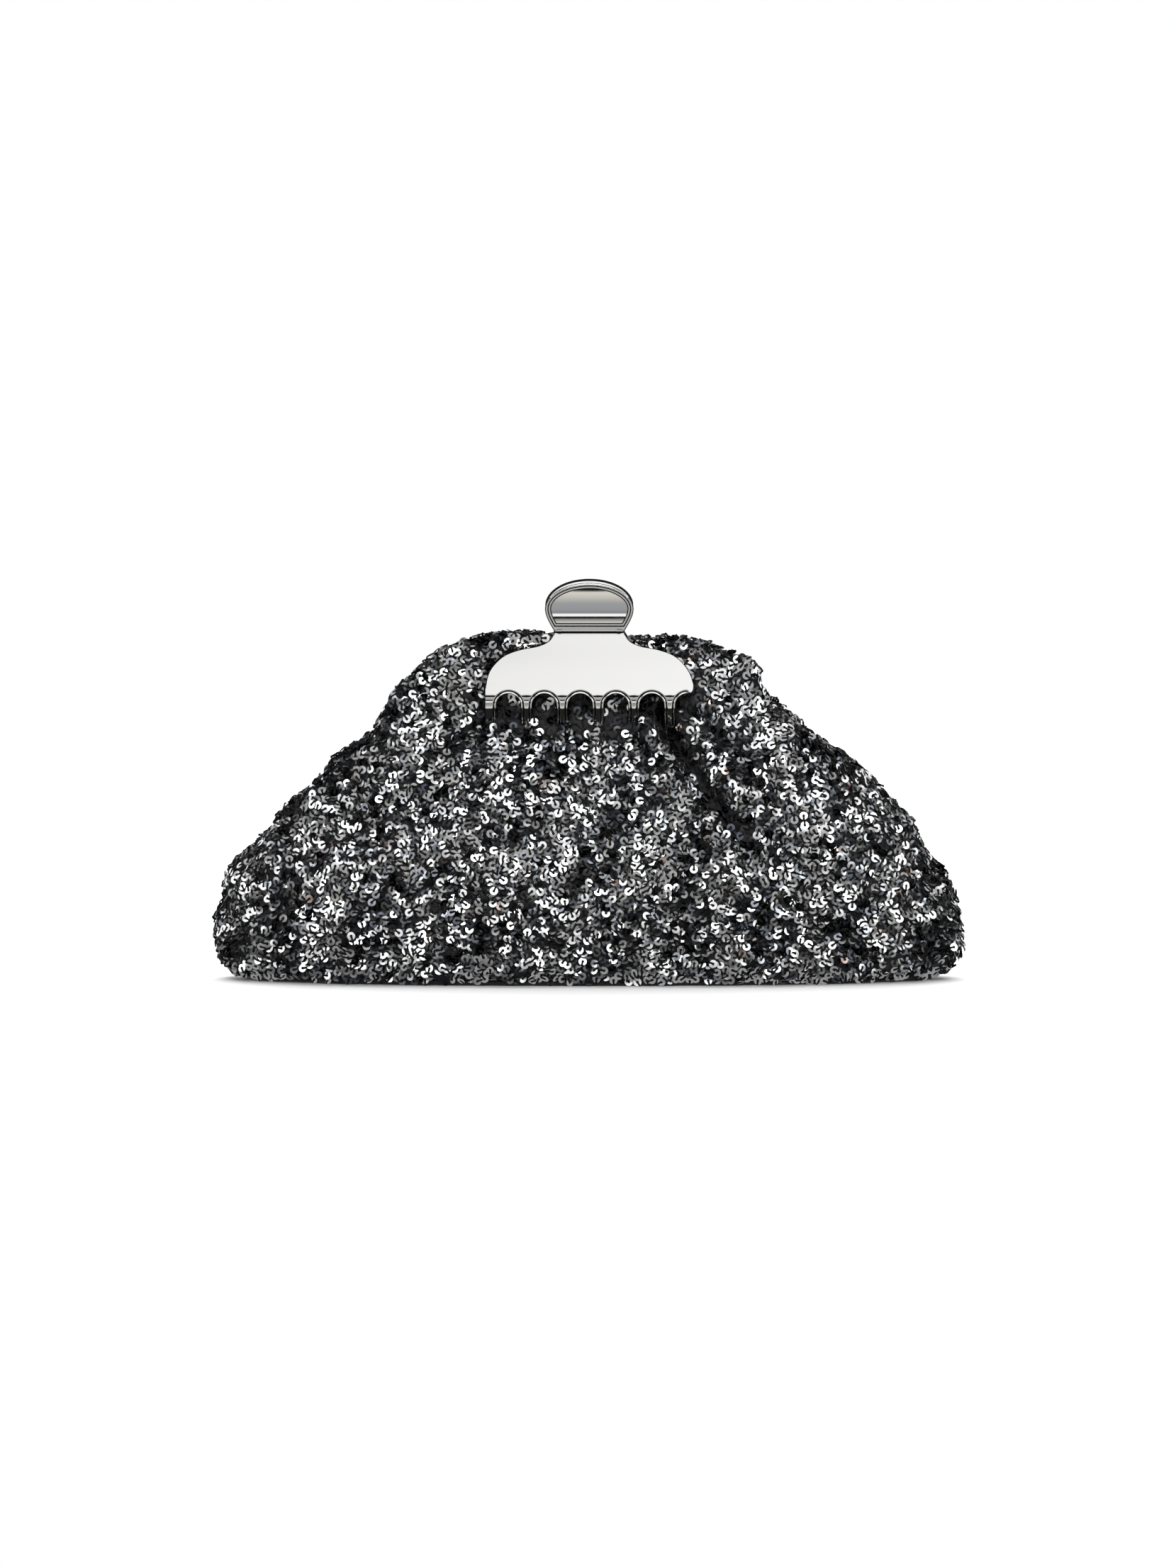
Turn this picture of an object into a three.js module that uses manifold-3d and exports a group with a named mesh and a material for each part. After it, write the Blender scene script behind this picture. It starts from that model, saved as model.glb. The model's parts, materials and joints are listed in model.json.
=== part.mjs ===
// A sequinned evening bag whose mouth is clamped shut by a metal claw clip.
// Millimetres, +Z up. The bag stands on z = 0, its front faces -Y and its width runs along X.
import * as THREE from "three";
import { mergeVertices } from "three/addons/utils/BufferGeometryUtils.js";
import Module from "manifold-3d";

const wasm = await Module();
wasm.setup();

// ---- driving dimensions -------------------------------------------------------------------

const FRONT = -1;
const REAR = 1;

// The pouch: half width and half depth at each height, as [height, value].
const HALF_WIDTH = [
  [0, 131], [3, 138], [9, 143], [18, 145], [26, 144], [41, 136], [69, 115],
  [85, 100], [96, 86], [110, 74], [118, 67], [126, 59], [131, 51], [133.5, 44],
];
const HALF_DEPTH = [
  [0, 30], [8, 33], [25, 34], [45, 31], [65, 26], [85, 19.5], [100, 13.5],
  [110, 10.4], [120, 9], [128, 8], [133.5, 7],
];
const MOUTH_HEIGHT = 133.5;
const SECTION_POWER_BASE = 2.4;
const SECTION_POWER_MOUTH = 6;
const SECTION_POWER_HEIGHT = 110;
const SEAM_GAP = 0.3;
const WALL_ROWS = [3.5, 5.6, 10, 18, 30, 45, 62, 78, 88, 95, 101, 106, 113, 120, 127];
const ROW_CLEARANCE = 0.8;
const WALL_COLUMNS = 20;
const MOUTH_DIP = 3;
const MOUTH_DIP_HALF_WIDTH = 17;
const PINCH = 0.5;
const PINCH_HEIGHT = 98;
const PINCH_HALF_HEIGHT = 12;
const PINCH_HALF_WIDTH = 56;
const SOFT_BELL = 2;
const FLAT_BELL = 6;

// Layers, as distances in from the pouch's outer surface.
const SEQUIN_FABRIC = 2.4;
const LINING_FROM = 3.5;
const LINING_TO = 4.1;
const EDGE_INSET = 1.2;

// Base, from the ground up.
const BASE_FABRIC = 2;
const BASE_BOARD = 2;
const BASE_LINING = 0.7;
const BASE_INSET = 4.5;
const FIT_GAP = 0.3;
const BASE_HALF_STEPS = 18;

// The mouth hinge: the two half frames turn on rivets at the mouth's ends.
const MOUTH_HINGE_Z = 110;
const FRONT_PANEL_TOP = 107.5;
const MOUTH_PANEL_BOTTOM = 113;
const LINING_TOP = 106;
const FACING_THICKNESS = 0.6;
const FACING_FOOT_Y = 3.7;
const FACING_BEND = [[3.5, MOUTH_PANEL_BOTTOM], [1.6, 118.5]];
const FACING_TOP_Y = 1.3;
const FACING_STEPS = 8;
const FACING_HALF_WIDTH_LOW = 45;
const FACING_HALF_WIDTH_TOP = 41;
const FACING_TOP = 129.5;
const FRONT_FACING_BOTTOM = 111.5;
const REAR_FACING_BOTTOM = 106.5;

// Half frames: a flat steel strip over the mouth with an ear at each end.
const FRAME_Y = 3.1;
const FRAME_THICKNESS = 1.2;
const FRAME_BAR_LOW = 119;
const FRAME_BAR_HIGH = 127;
const FRAME_SHOULDER = 46;
const FRAME_STRIP = 6;
const FRAME_CORNER_RISE = 4;
const EAR_RADIUS = 2.7;
const EAR_THICKNESS = 1.2;
const FRONT_EAR_X = 60;
const REAR_EAR_X = 61.6;
const RIVET_RADIUS = 1.5;
const RIVET_HEAD_RADIUS = 2.5;
const RIVET_HEAD = 0.9;

// Claw clip: both jaws are one casting, the rear one turned half a turn about Z. The jaw's
// profile runs down the middle of its plate, in (y, z), from the thumb tab to the tooth tips.
const JAW_HALF_WIDTH = 40.1;
const JAW_THICKNESS = 1.6;
const JAW_REACH = 20;
const JAW_PROFILE = [
  [-12.5, 153.2], [-10.8, 147.5], [-9, 141.5], [-8.1, 136], [-8.7, 130],
  [-10.4, 121], [-11.9, 112], [-12.4, 107.5], [-12.1, 103.5], [-11.2, 100], [-9.8, 96.6],
];
const JAW_PROFILE_STEPS = 17;
const SHOULDER = [
  [38.7, 117.4], [36, 122], [32, 125.6], [26, 127.8], [19.5, 129], [15.2, 131],
];
const SHOULDER_FOOT_RISE = 3;
const TAB_HALF_WIDTH = 17;
const TAB_TOP = 153.4;
const TAB_WIDEST_Z = 143.5;
const NECK_HALF_WIDTH = 13.3;
const NECK_Z = 134.5;
// Control points of the tab's two curves on one side, as (x, z).
const TAB_FLARE = [[16, 138], [TAB_HALF_WIDTH, 141]];
const TAB_CROWN = [[TAB_HALF_WIDTH, 150], [10, TAB_TOP]];
const TOOTH_PITCH = 13.75;
const TOOTH_COUNT = 6;
const TOOTH_HALF_WIDTH = 2.2;
const TOOTH_TIP_Z = 97;
const TOOTH_TIP_RADIUS = 1.6;
const GAP_RADIUS = TOOTH_PITCH / 2 - TOOTH_HALF_WIDTH;
const GAP_TOP_Z = 111;
const ARC_STEPS = 4;
// The last gap is open on the right: its arch stops here and meets the plate's corner.
const LAST_ARCH_END = Math.PI * 0.55;
const LAST_ARCH_DROP = 0.6;

// Jaw hinge.
const PIN_Z = 140;
const PIN_RADIUS = 1.5;
const PIN_HALF_LENGTH = 13;
const LUG_RADIUS = 3.3;
const LUG_THICKNESS = 2;
const LUG_INNER_X = 8;
const LUG_OUTER_X = 10.6;
const LUG_ROOT_Y = 8.6;
const CAP_RADIUS = 2.7;
const CAP_LENGTH = 1.8;
const CAP_WALL = 0.7;

// Torsion spring round the pin.
const SPRING_WIRE_RADIUS = 0.45;
const SPRING_COIL_RADIUS = 2.5;
const SPRING_TURNS = 5.5;
const SPRING_HALF_LENGTH = 5;
const SPRING_STEPS_PER_TURN = 10;
const SPRING_LEG_Y = 7.6;
const SPRING_LEG_Z = 9.5;
const SPRING_SIDES = 5;

// Screws that hold the rear jaw to the rear half frame.
const SCREW_X = [-25, -9, 9, 25];
const SCREW_Z = 123;
const SCREW_RADIUS = 1.2;
const SCREW_HEAD_RADIUS = 2.2;
const SCREW_HEAD = 0.9;
const SCREW_TIP_Y = 8.2;
const BOSS_RADIUS = 2.3;
const BOSS_BORE = 1.45;
const BOSS_BORE_END_Y = 8.5;
const BOSS_ROOT_Y = 9.8;
const FABRIC_HOLE_RADIUS = 2.7;

// How finely round pieces are made, and how far a cutting tool runs past what it cuts.
const ROUND_SIDES = 16;
const SCREW_SIDES = 14;
const HOLE_SIDES = 12;
const CUT_MARGIN = 1;
const MERGE_DISTANCE = 1e-4;

// ---- materials ----------------------------------------------------------------------------

function material(color, roughness, metalness) {
  return new THREE.MeshStandardMaterial({ color, roughness, metalness });
}

const sequinFabric = () => material("#6f7276", 0.35, 0.6);
const liningFabric = () => material("#17171a", 0.7, 0);
const boardFibre = () => material("#7d6f5c", 0.9, 0);
const frameSteel = () => material("#8d9094", 0.4, 1);
const polishedMetal = () => material("#e4e4e2", 0.06, 1);
const springSteel = () => material("#a3a6aa", 0.3, 1);

// ---- helpers ------------------------------------------------------------------------------

const bag = new THREE.Group();

function addPart(name, geometry, partMaterial) {
  const mesh = new THREE.Mesh(geometry, partMaterial);
  mesh.name = name;
  bag.add(mesh);
  return mesh;
}

// A value read from a list of [height, value] pairs on a smooth curve through them.
function valueAt(pairs, height) {
  const last = pairs.length - 1;
  const h = THREE.MathUtils.clamp(height, pairs[0][0], pairs[last][0]);
  let i = 0;
  while (i < last - 1 && h > pairs[i + 1][0]) {
    i += 1;
  }
  const slope = (a, b) => (pairs[b][1] - pairs[a][1]) / (pairs[b][0] - pairs[a][0]);
  const span = pairs[i + 1][0] - pairs[i][0];
  const t = (h - pairs[i][0]) / span;
  const startSlope = slope(Math.max(i - 1, 0), i + 1) * span;
  const endSlope = slope(i, Math.min(i + 2, last)) * span;
  const t2 = t * t;
  const t3 = t2 * t;
  return (
    (2 * t3 - 3 * t2 + 1) * pairs[i][1] +
    (t3 - 2 * t2 + t) * startSlope +
    (3 * t2 - 2 * t3) * pairs[i + 1][1] +
    (t3 - t2) * endSlope
  );
}

function bell(distance, halfWidth, power) {
  return Math.exp(-Math.pow(Math.abs(distance) / halfWidth, power));
}

function toSolid(geometry) {
  const bare = geometry.clone();
  bare.deleteAttribute("normal");
  bare.deleteAttribute("uv");
  const merged = mergeVertices(bare, MERGE_DISTANCE);
  return new wasm.Manifold(
    new wasm.Mesh({
      numProp: 3,
      vertProperties: new Float32Array(merged.attributes.position.array),
      triVerts: new Uint32Array(merged.index.array),
    }),
  );
}

function toGeometry(solid) {
  const mesh = solid.getMesh();
  const geometry = new THREE.BufferGeometry();
  geometry.setAttribute("position", new THREE.BufferAttribute(mesh.vertProperties, 3));
  geometry.setIndex(new THREE.BufferAttribute(mesh.triVerts, 1));
  geometry.computeVertexNormals();
  return geometry;
}

const X_AXIS = new THREE.Vector3(1, 0, 0);
const Y_AXIS = new THREE.Vector3(0, 1, 0);
const Z_AXIS = new THREE.Vector3(0, 0, 1);

// A shape drawn in (y, z), pushed along X from lowX to highX.
function extrudeAlongX(shape, lowX, highX) {
  const geometry = new THREE.ExtrudeGeometry(shape, { depth: highX - lowX, bevelEnabled: false });
  geometry.applyMatrix4(new THREE.Matrix4().makeBasis(Y_AXIS, Z_AXIS, X_AXIS));
  geometry.translate(lowX, 0, 0);
  return geometry;
}

// A shape drawn in (x, z), pushed along Y from lowY to highY.
function extrudeAlongY(shape, lowY, highY) {
  const geometry = new THREE.ExtrudeGeometry(shape, {
    depth: highY - lowY,
    bevelEnabled: false,
    curveSegments: ARC_STEPS,
  });
  const backwards = Y_AXIS.clone().negate();
  geometry.applyMatrix4(new THREE.Matrix4().makeBasis(X_AXIS, Z_AXIS, backwards));
  geometry.translate(0, highY, 0);
  return geometry;
}

function cylinderAlongX(radius, lowX, highX, y, z) {
  const geometry = new THREE.CylinderGeometry(radius, radius, highX - lowX, ROUND_SIDES);
  geometry.rotateZ(-Math.PI / 2);
  geometry.translate((lowX + highX) / 2, y, z);
  return geometry;
}

function cylinderAlongY(radius, lowY, highY, x, z) {
  const geometry = new THREE.CylinderGeometry(radius, radius, highY - lowY, HOLE_SIDES);
  geometry.translate(x, (lowY + highY) / 2, z);
  return geometry;
}

function box(low, high) {
  const geometry = new THREE.BoxGeometry(high[0] - low[0], high[1] - low[1], high[2] - low[2]);
  geometry.translate((low[0] + high[0]) / 2, (low[1] + high[1]) / 2, (low[2] + high[2]) / 2);
  return geometry;
}

// A band of even thickness along a curve drawn in (y, z).
function bandShape(points, thickness, steps) {
  const curve = new THREE.SplineCurve(points.map(([y, z]) => new THREE.Vector2(y, z)));
  const near = [];
  const far = [];
  for (let i = 0; i <= steps; i += 1) {
    const middle = curve.getPointAt(i / steps);
    const along = curve.getTangentAt(i / steps);
    const across = new THREE.Vector2(-along.y, along.x).multiplyScalar(thickness / 2);
    near.push(middle.clone().add(across));
    far.unshift(middle.clone().sub(across));
  }
  return new THREE.Shape([...near, ...far]);
}

// ---- pouch --------------------------------------------------------------------------------

function sectionPower(z) {
  const rise = Math.min(z / SECTION_POWER_HEIGHT, 1);
  return SECTION_POWER_BASE + (SECTION_POWER_MOUTH - SECTION_POWER_BASE) * rise * rise;
}

// A point of the pouch's wall, `inset` in from its outer surface; across runs from -1 to 1.
function wallPoint(side, across, z, inset) {
  const x = across * (valueAt(HALF_WIDTH, z) - inset * EDGE_INSET);
  const pinchAcross = bell(x, PINCH_HALF_WIDTH, FLAT_BELL);
  const pinchUp = bell(z - PINCH_HEIGHT, PINCH_HALF_HEIGHT, SOFT_BELL);
  const depth = valueAt(HALF_DEPTH, z) * (1 - PINCH * pinchAcross * pinchUp) - inset;
  const fullness = Math.sqrt(Math.max(1 - Math.pow(Math.abs(across), sectionPower(z)), 0));
  const riseOverHinge = (z - MOUTH_HINGE_Z) / (MOUTH_HEIGHT - MOUTH_HINGE_Z);
  const aboveHinge = THREE.MathUtils.clamp(riseOverHinge, 0, 1);
  const dip = MOUTH_DIP * bell(x, MOUTH_DIP_HALF_WIDTH, SOFT_BELL) * aboveHinge;
  return new THREE.Vector3(x, side * (SEAM_GAP + (depth - SEAM_GAP) * fullness), z - dip);
}

// One layer of the pouch's wall between two heights, as a closed shell.
function wallLayer(side, lowZ, highZ, outerInset, innerInset) {
  const firstRow = lowZ + ROW_CLEARANCE;
  const lastRow = highZ - ROW_CLEARANCE;
  const heights = [lowZ, ...WALL_ROWS.filter((z) => z > firstRow && z < lastRow), highZ];
  const columns = WALL_COLUMNS;
  const rows = heights.length - 1;
  const positions = [];
  for (const inset of [outerInset, innerInset]) {
    for (const z of heights) {
      for (let column = 0; column <= columns; column += 1) {
        const across = Math.sin(((2 * column) / columns - 1) * (Math.PI / 2));
        positions.push(...wallPoint(side, across, z, inset).toArray());
      }
    }
  }
  const inner = (columns + 1) * (rows + 1);
  const at = (column, row) => row * (columns + 1) + column;
  const triangles = [];
  const quad = (a, b, c, d) => {
    const corners = side === FRONT ? [a, b, c, a, c, d] : [a, c, b, a, d, c];
    triangles.push(...corners);
  };
  for (let row = 0; row < rows; row += 1) {
    for (let column = 0; column < columns; column += 1) {
      const corners = [
        at(column, row),
        at(column + 1, row),
        at(column + 1, row + 1),
        at(column, row + 1),
      ];
      quad(...corners);
      quad(...corners.map((corner) => corner + inner).reverse());
    }
  }
  for (let column = 0; column < columns; column += 1) {
    const low = [at(column, 0), at(column + 1, 0)];
    const high = [at(column, rows), at(column + 1, rows)];
    quad(low[1], low[0], low[0] + inner, low[1] + inner);
    quad(high[0], high[1], high[1] + inner, high[0] + inner);
  }
  for (let row = 0; row < rows; row += 1) {
    const left = [at(0, row), at(0, row + 1)];
    const right = [at(columns, row), at(columns, row + 1)];
    quad(left[0], left[1], left[1] + inner, left[0] + inner);
    quad(right[1], right[0], right[0] + inner, right[1] + inner);
  }
  const geometry = new THREE.BufferGeometry();
  geometry.setAttribute("position", new THREE.Float32BufferAttribute(positions, 3));
  geometry.setIndex(triangles);
  geometry.computeVertexNormals();
  return geometry;
}

// The pouch's plan at height z, `inset` in from its outer surface, as a plate of given thickness.
function basePlate(z, inset, thickness) {
  const outline = [];
  for (const side of [FRONT, REAR]) {
    for (let step = 0; step < BASE_HALF_STEPS; step += 1) {
      const across = side * Math.cos((step / BASE_HALF_STEPS) * Math.PI);
      const point = wallPoint(side, across, z, inset);
      outline.push(new THREE.Vector2(point.x, point.y));
    }
  }
  const geometry = new THREE.ExtrudeGeometry(new THREE.Shape(outline), {
    depth: thickness,
    bevelEnabled: false,
  });
  geometry.translate(0, 0, z);
  return geometry;
}

function cutScrewHoles(geometry, radius, lowY, highY) {
  let solid = toSolid(geometry);
  for (const x of SCREW_X) {
    solid = solid.subtract(toSolid(cylinderAlongY(radius, lowY, highY, x, SCREW_Z)));
  }
  return toGeometry(solid);
}

function addPouch() {
  const wallBottom = BASE_FABRIC + FIT_GAP;
  const boardZ = wallBottom;
  const baseLiningZ = boardZ + BASE_BOARD + FIT_GAP;
  const liningBottom = baseLiningZ + BASE_LINING + FIT_GAP;
  const plainRear = wallLayer(REAR, wallBottom, MOUTH_HEIGHT, 0, SEQUIN_FABRIC);
  const rear = cutScrewHoles(plainRear, FABRIC_HOLE_RADIUS, FRAME_Y, BOSS_ROOT_Y);
  addPart("outer_rear_panel", rear, sequinFabric());
  addPart(
    "outer_front_panel",
    wallLayer(FRONT, wallBottom, FRONT_PANEL_TOP, 0, SEQUIN_FABRIC),
    sequinFabric(),
  );
  addPart(
    "outer_front_mouth_panel",
    wallLayer(FRONT, MOUTH_PANEL_BOTTOM, MOUTH_HEIGHT, 0, SEQUIN_FABRIC),
    sequinFabric(),
  );
  addPart("outer_base_panel", basePlate(0, 0, BASE_FABRIC), sequinFabric());
  addPart("base_board", basePlate(boardZ, BASE_INSET, BASE_BOARD), boardFibre());
  addPart("lining_base", basePlate(baseLiningZ, BASE_INSET, BASE_LINING), liningFabric());
  for (const [name, side] of [["lining_front", FRONT], ["lining_rear", REAR]]) {
    const wall = wallLayer(side, liningBottom, LINING_TOP, LINING_FROM, LINING_TO);
    addPart(name, wall, liningFabric());
  }
}

// ---- mouth --------------------------------------------------------------------------------

function addFacing(name, side, bottom) {
  const curve = [[FACING_FOOT_Y, bottom], ...FACING_BEND, [FACING_TOP_Y, FACING_TOP]];
  const band = bandShape(curve, FACING_THICKNESS, FACING_STEPS);
  const outline = new THREE.Shape([
    new THREE.Vector2(-FACING_HALF_WIDTH_LOW, bottom),
    new THREE.Vector2(FACING_HALF_WIDTH_LOW, bottom),
    new THREE.Vector2(FACING_HALF_WIDTH_TOP, FACING_TOP),
    new THREE.Vector2(-FACING_HALF_WIDTH_TOP, FACING_TOP),
  ]);
  const reachX = FACING_HALF_WIDTH_LOW + CUT_MARGIN;
  const reachY = FACING_FOOT_Y + FACING_THICKNESS + CUT_MARGIN;
  const strip = toSolid(extrudeAlongX(band, -reachX, reachX));
  const trimmed = strip.intersect(toSolid(extrudeAlongY(outline, 0, reachY)));
  const mesh = addPart(name, toGeometry(trimmed), liningFabric());
  mesh.rotation.z = side === FRONT ? Math.PI : 0;
}

function frameOutline(earX) {
  const foot = earX + EAR_THICKNESS / 2;
  const footZ = MOUTH_HINGE_Z - EAR_RADIUS;
  const cornerX = FRAME_SHOULDER + FRAME_CORNER_RISE;
  const cornerZ = FRAME_BAR_HIGH - FRAME_CORNER_RISE;
  const topX = FRAME_SHOULDER - FRAME_STRIP;
  const innerX = FRAME_SHOULDER - FRAME_STRIP / 2;
  const shape = new THREE.Shape();
  shape.moveTo(foot, footZ);
  shape.lineTo(foot, MOUTH_HINGE_Z);
  shape.lineTo(cornerX, cornerZ);
  shape.quadraticCurveTo(FRAME_SHOULDER, FRAME_BAR_HIGH, topX, FRAME_BAR_HIGH);
  shape.lineTo(-topX, FRAME_BAR_HIGH);
  shape.quadraticCurveTo(-FRAME_SHOULDER, FRAME_BAR_HIGH, -cornerX, cornerZ);
  shape.lineTo(-foot, MOUTH_HINGE_Z);
  shape.lineTo(-foot, footZ);
  shape.lineTo(FRAME_STRIP - foot, footZ);
  shape.lineTo(-innerX, FRAME_BAR_LOW);
  shape.lineTo(innerX, FRAME_BAR_LOW);
  shape.lineTo(foot - FRAME_STRIP, footZ);
  return shape;
}

// A half frame, made for the rear and turned about Z for the front.
function halfFrame(earX) {
  const plateOuter = FRAME_Y + FRAME_THICKNESS;
  let solid = toSolid(extrudeAlongY(frameOutline(earX), FRAME_Y, plateOuter));
  for (const end of [-1, 1]) {
    const lowX = end * earX - EAR_THICKNESS / 2;
    const highX = end * earX + EAR_THICKNESS / 2;
    const low = [lowX, 0, MOUTH_HINGE_Z - EAR_RADIUS];
    const high = [highX, plateOuter, MOUTH_HINGE_Z + EAR_RADIUS];
    const eye = cylinderAlongX(EAR_RADIUS, lowX, highX, 0, MOUTH_HINGE_Z);
    const holeLow = lowX - CUT_MARGIN;
    const holeHigh = highX + CUT_MARGIN;
    const hole = cylinderAlongX(RIVET_RADIUS + FIT_GAP, holeLow, holeHigh, 0, MOUTH_HINGE_Z);
    solid = solid.add(toSolid(box(low, high))).add(toSolid(eye)).subtract(toSolid(hole));
  }
  return toGeometry(solid);
}

function addMouth() {
  addFacing("facing_front", FRONT, FRONT_FACING_BOTTOM);
  addFacing("facing_rear", REAR, REAR_FACING_BOTTOM);
  const rearFrame = cutScrewHoles(halfFrame(REAR_EAR_X), SCREW_RADIUS + FIT_GAP, 0, BOSS_ROOT_Y);
  addPart("rear_half_frame", rearFrame, frameSteel());
  const frontFrame = addPart("front_half_frame", halfFrame(FRONT_EAR_X), frameSteel());
  frontFrame.rotation.z = Math.PI;
  for (const [name, end] of [["frame_rivet_left", -1], ["frame_rivet_right", 1]]) {
    const inner = FRONT_EAR_X - EAR_THICKNESS / 2 - FIT_GAP;
    const outer = REAR_EAR_X + EAR_THICKNESS / 2 + FIT_GAP;
    const profile = [
      [0, inner - RIVET_HEAD],
      [RIVET_HEAD_RADIUS, inner - RIVET_HEAD],
      [RIVET_HEAD_RADIUS, inner],
      [RIVET_RADIUS, inner],
      [RIVET_RADIUS, outer],
      [RIVET_HEAD_RADIUS, outer],
      [RIVET_HEAD_RADIUS, outer + RIVET_HEAD],
      [0, outer + RIVET_HEAD],
    ].map(([radius, along]) => new THREE.Vector2(radius, along));
    const rivet = addPart(name, new THREE.LatheGeometry(profile, ROUND_SIDES), frameSteel());
    rivet.rotation.z = (-end * Math.PI) / 2;
    rivet.position.z = MOUTH_HINGE_Z;
  }
}

// ---- claw clip ----------------------------------------------------------------------------

// Outline of the front jaw seen from the front, teeth first, in (x, z).
function jawOutline() {
  const shape = new THREE.Shape();
  const firstTooth = -JAW_HALF_WIDTH + TOOTH_HALF_WIDTH;
  const archZ = GAP_TOP_Z - GAP_RADIUS;
  const tipZ = TOOTH_TIP_Z + TOOTH_TIP_RADIUS;
  shape.moveTo(-JAW_HALF_WIDTH, archZ);
  for (let tooth = 0; tooth < TOOTH_COUNT; tooth += 1) {
    const x = firstTooth + tooth * TOOTH_PITCH;
    const gapX = x + TOOTH_PITCH / 2;
    const tipRight = x + TOOTH_HALF_WIDTH - TOOTH_TIP_RADIUS;
    const tipLeft = x - TOOTH_HALF_WIDTH + TOOTH_TIP_RADIUS;
    shape.lineTo(x - TOOTH_HALF_WIDTH, tipZ);
    shape.absarc(tipLeft, tipZ, TOOTH_TIP_RADIUS, Math.PI, Math.PI * 1.5, false);
    shape.absarc(tipRight, tipZ, TOOTH_TIP_RADIUS, Math.PI * 1.5, Math.PI * 2, false);
    const archEnd = tooth < TOOTH_COUNT - 1 ? 0 : LAST_ARCH_END;
    shape.absarc(gapX, archZ, GAP_RADIUS, Math.PI, archEnd, true);
  }
  const cornerLow = GAP_TOP_Z - LAST_ARCH_DROP;
  const cornerHigh = GAP_TOP_Z + SHOULDER_FOOT_RISE;
  shape.quadraticCurveTo(JAW_HALF_WIDTH, cornerLow, JAW_HALF_WIDTH, cornerHigh);
  const right = SHOULDER.map(([x, z]) => new THREE.Vector2(x, z));
  const left = SHOULDER.map(([x, z]) => new THREE.Vector2(-x, z)).reverse();
  shape.splineThru([...right, new THREE.Vector2(NECK_HALF_WIDTH, NECK_Z)]);
  const mirrored = ([x, z]) => [-x, z];
  const [flareLow, flareHigh] = TAB_FLARE;
  const [crownLow, crownHigh] = TAB_CROWN;
  shape.bezierCurveTo(...flareLow, ...flareHigh, TAB_HALF_WIDTH, TAB_WIDEST_Z);
  shape.bezierCurveTo(...crownLow, ...crownHigh, 0, TAB_TOP);
  shape.bezierCurveTo(...mirrored(crownHigh), ...mirrored(crownLow), -TAB_HALF_WIDTH, TAB_WIDEST_Z);
  shape.bezierCurveTo(...mirrored(flareHigh), ...mirrored(flareLow), -NECK_HALF_WIDTH, NECK_Z);
  shape.splineThru([...left, new THREE.Vector2(-JAW_HALF_WIDTH, cornerHigh)]);
  return shape;
}

// One jaw, standing at the front: a bent plate with teeth, a thumb tab and two hinge lugs.
function jaw() {
  const profile = bandShape(JAW_PROFILE, JAW_THICKNESS, JAW_PROFILE_STEPS);
  const reachX = JAW_HALF_WIDTH + CUT_MARGIN;
  const sheet = toSolid(extrudeAlongX(profile, -reachX, reachX));
  let solid = sheet.intersect(toSolid(extrudeAlongY(jawOutline(), -JAW_REACH, 0)));
  for (const x of [-LUG_OUTER_X, LUG_INNER_X]) {
    const lowX = x - LUG_THICKNESS / 2;
    const highX = x + LUG_THICKNESS / 2;
    const root = box([lowX, -LUG_ROOT_Y, PIN_Z - LUG_RADIUS], [highX, 0, PIN_Z + LUG_RADIUS]);
    const eye = cylinderAlongX(LUG_RADIUS, lowX, highX, 0, PIN_Z);
    const holeLow = lowX - CUT_MARGIN;
    const holeHigh = highX + CUT_MARGIN;
    const hole = cylinderAlongX(PIN_RADIUS + FIT_GAP, holeLow, holeHigh, 0, PIN_Z);
    solid = solid.add(toSolid(root)).add(toSolid(eye)).subtract(toSolid(hole));
  }
  return solid;
}

function addBosses(solid) {
  let bossed = solid;
  for (const x of SCREW_X) {
    const bossStart = FRAME_Y + FRAME_THICKNESS + FIT_GAP;
    const boreStart = bossStart - CUT_MARGIN;
    const boss = cylinderAlongY(BOSS_RADIUS, -BOSS_ROOT_Y, -bossStart, x, SCREW_Z);
    const bore = cylinderAlongY(BOSS_BORE, -BOSS_BORE_END_Y, -boreStart, x, SCREW_Z);
    bossed = bossed.add(toSolid(boss)).subtract(toSolid(bore));
  }
  return bossed;
}

function springGeometry() {
  const points = [new THREE.Vector3(-SPRING_HALF_LENGTH, -SPRING_LEG_Y, SPRING_LEG_Z)];
  const steps = SPRING_TURNS * SPRING_STEPS_PER_TURN;
  for (let step = 0; step <= steps; step += 1) {
    const angle = (step / SPRING_STEPS_PER_TURN) * Math.PI * 2;
    points.push(
      new THREE.Vector3(
        -SPRING_HALF_LENGTH + (2 * SPRING_HALF_LENGTH * step) / steps,
        -SPRING_COIL_RADIUS * Math.cos(angle),
        -SPRING_COIL_RADIUS * Math.sin(angle),
      ),
    );
  }
  points.push(new THREE.Vector3(SPRING_HALF_LENGTH, SPRING_LEG_Y, SPRING_LEG_Z));
  const section = new THREE.Shape();
  for (let side = 0; side < SPRING_SIDES; side += 1) {
    const angle = (side / SPRING_SIDES) * Math.PI * 2;
    const move = side === 0 ? "moveTo" : "lineTo";
    section[move](SPRING_WIRE_RADIUS * Math.cos(angle), SPRING_WIRE_RADIUS * Math.sin(angle));
  }
  return new THREE.ExtrudeGeometry(section, {
    steps: points.length - 1,
    extrudePath: new THREE.CatmullRomCurve3(points),
    bevelEnabled: false,
  });
}

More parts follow.
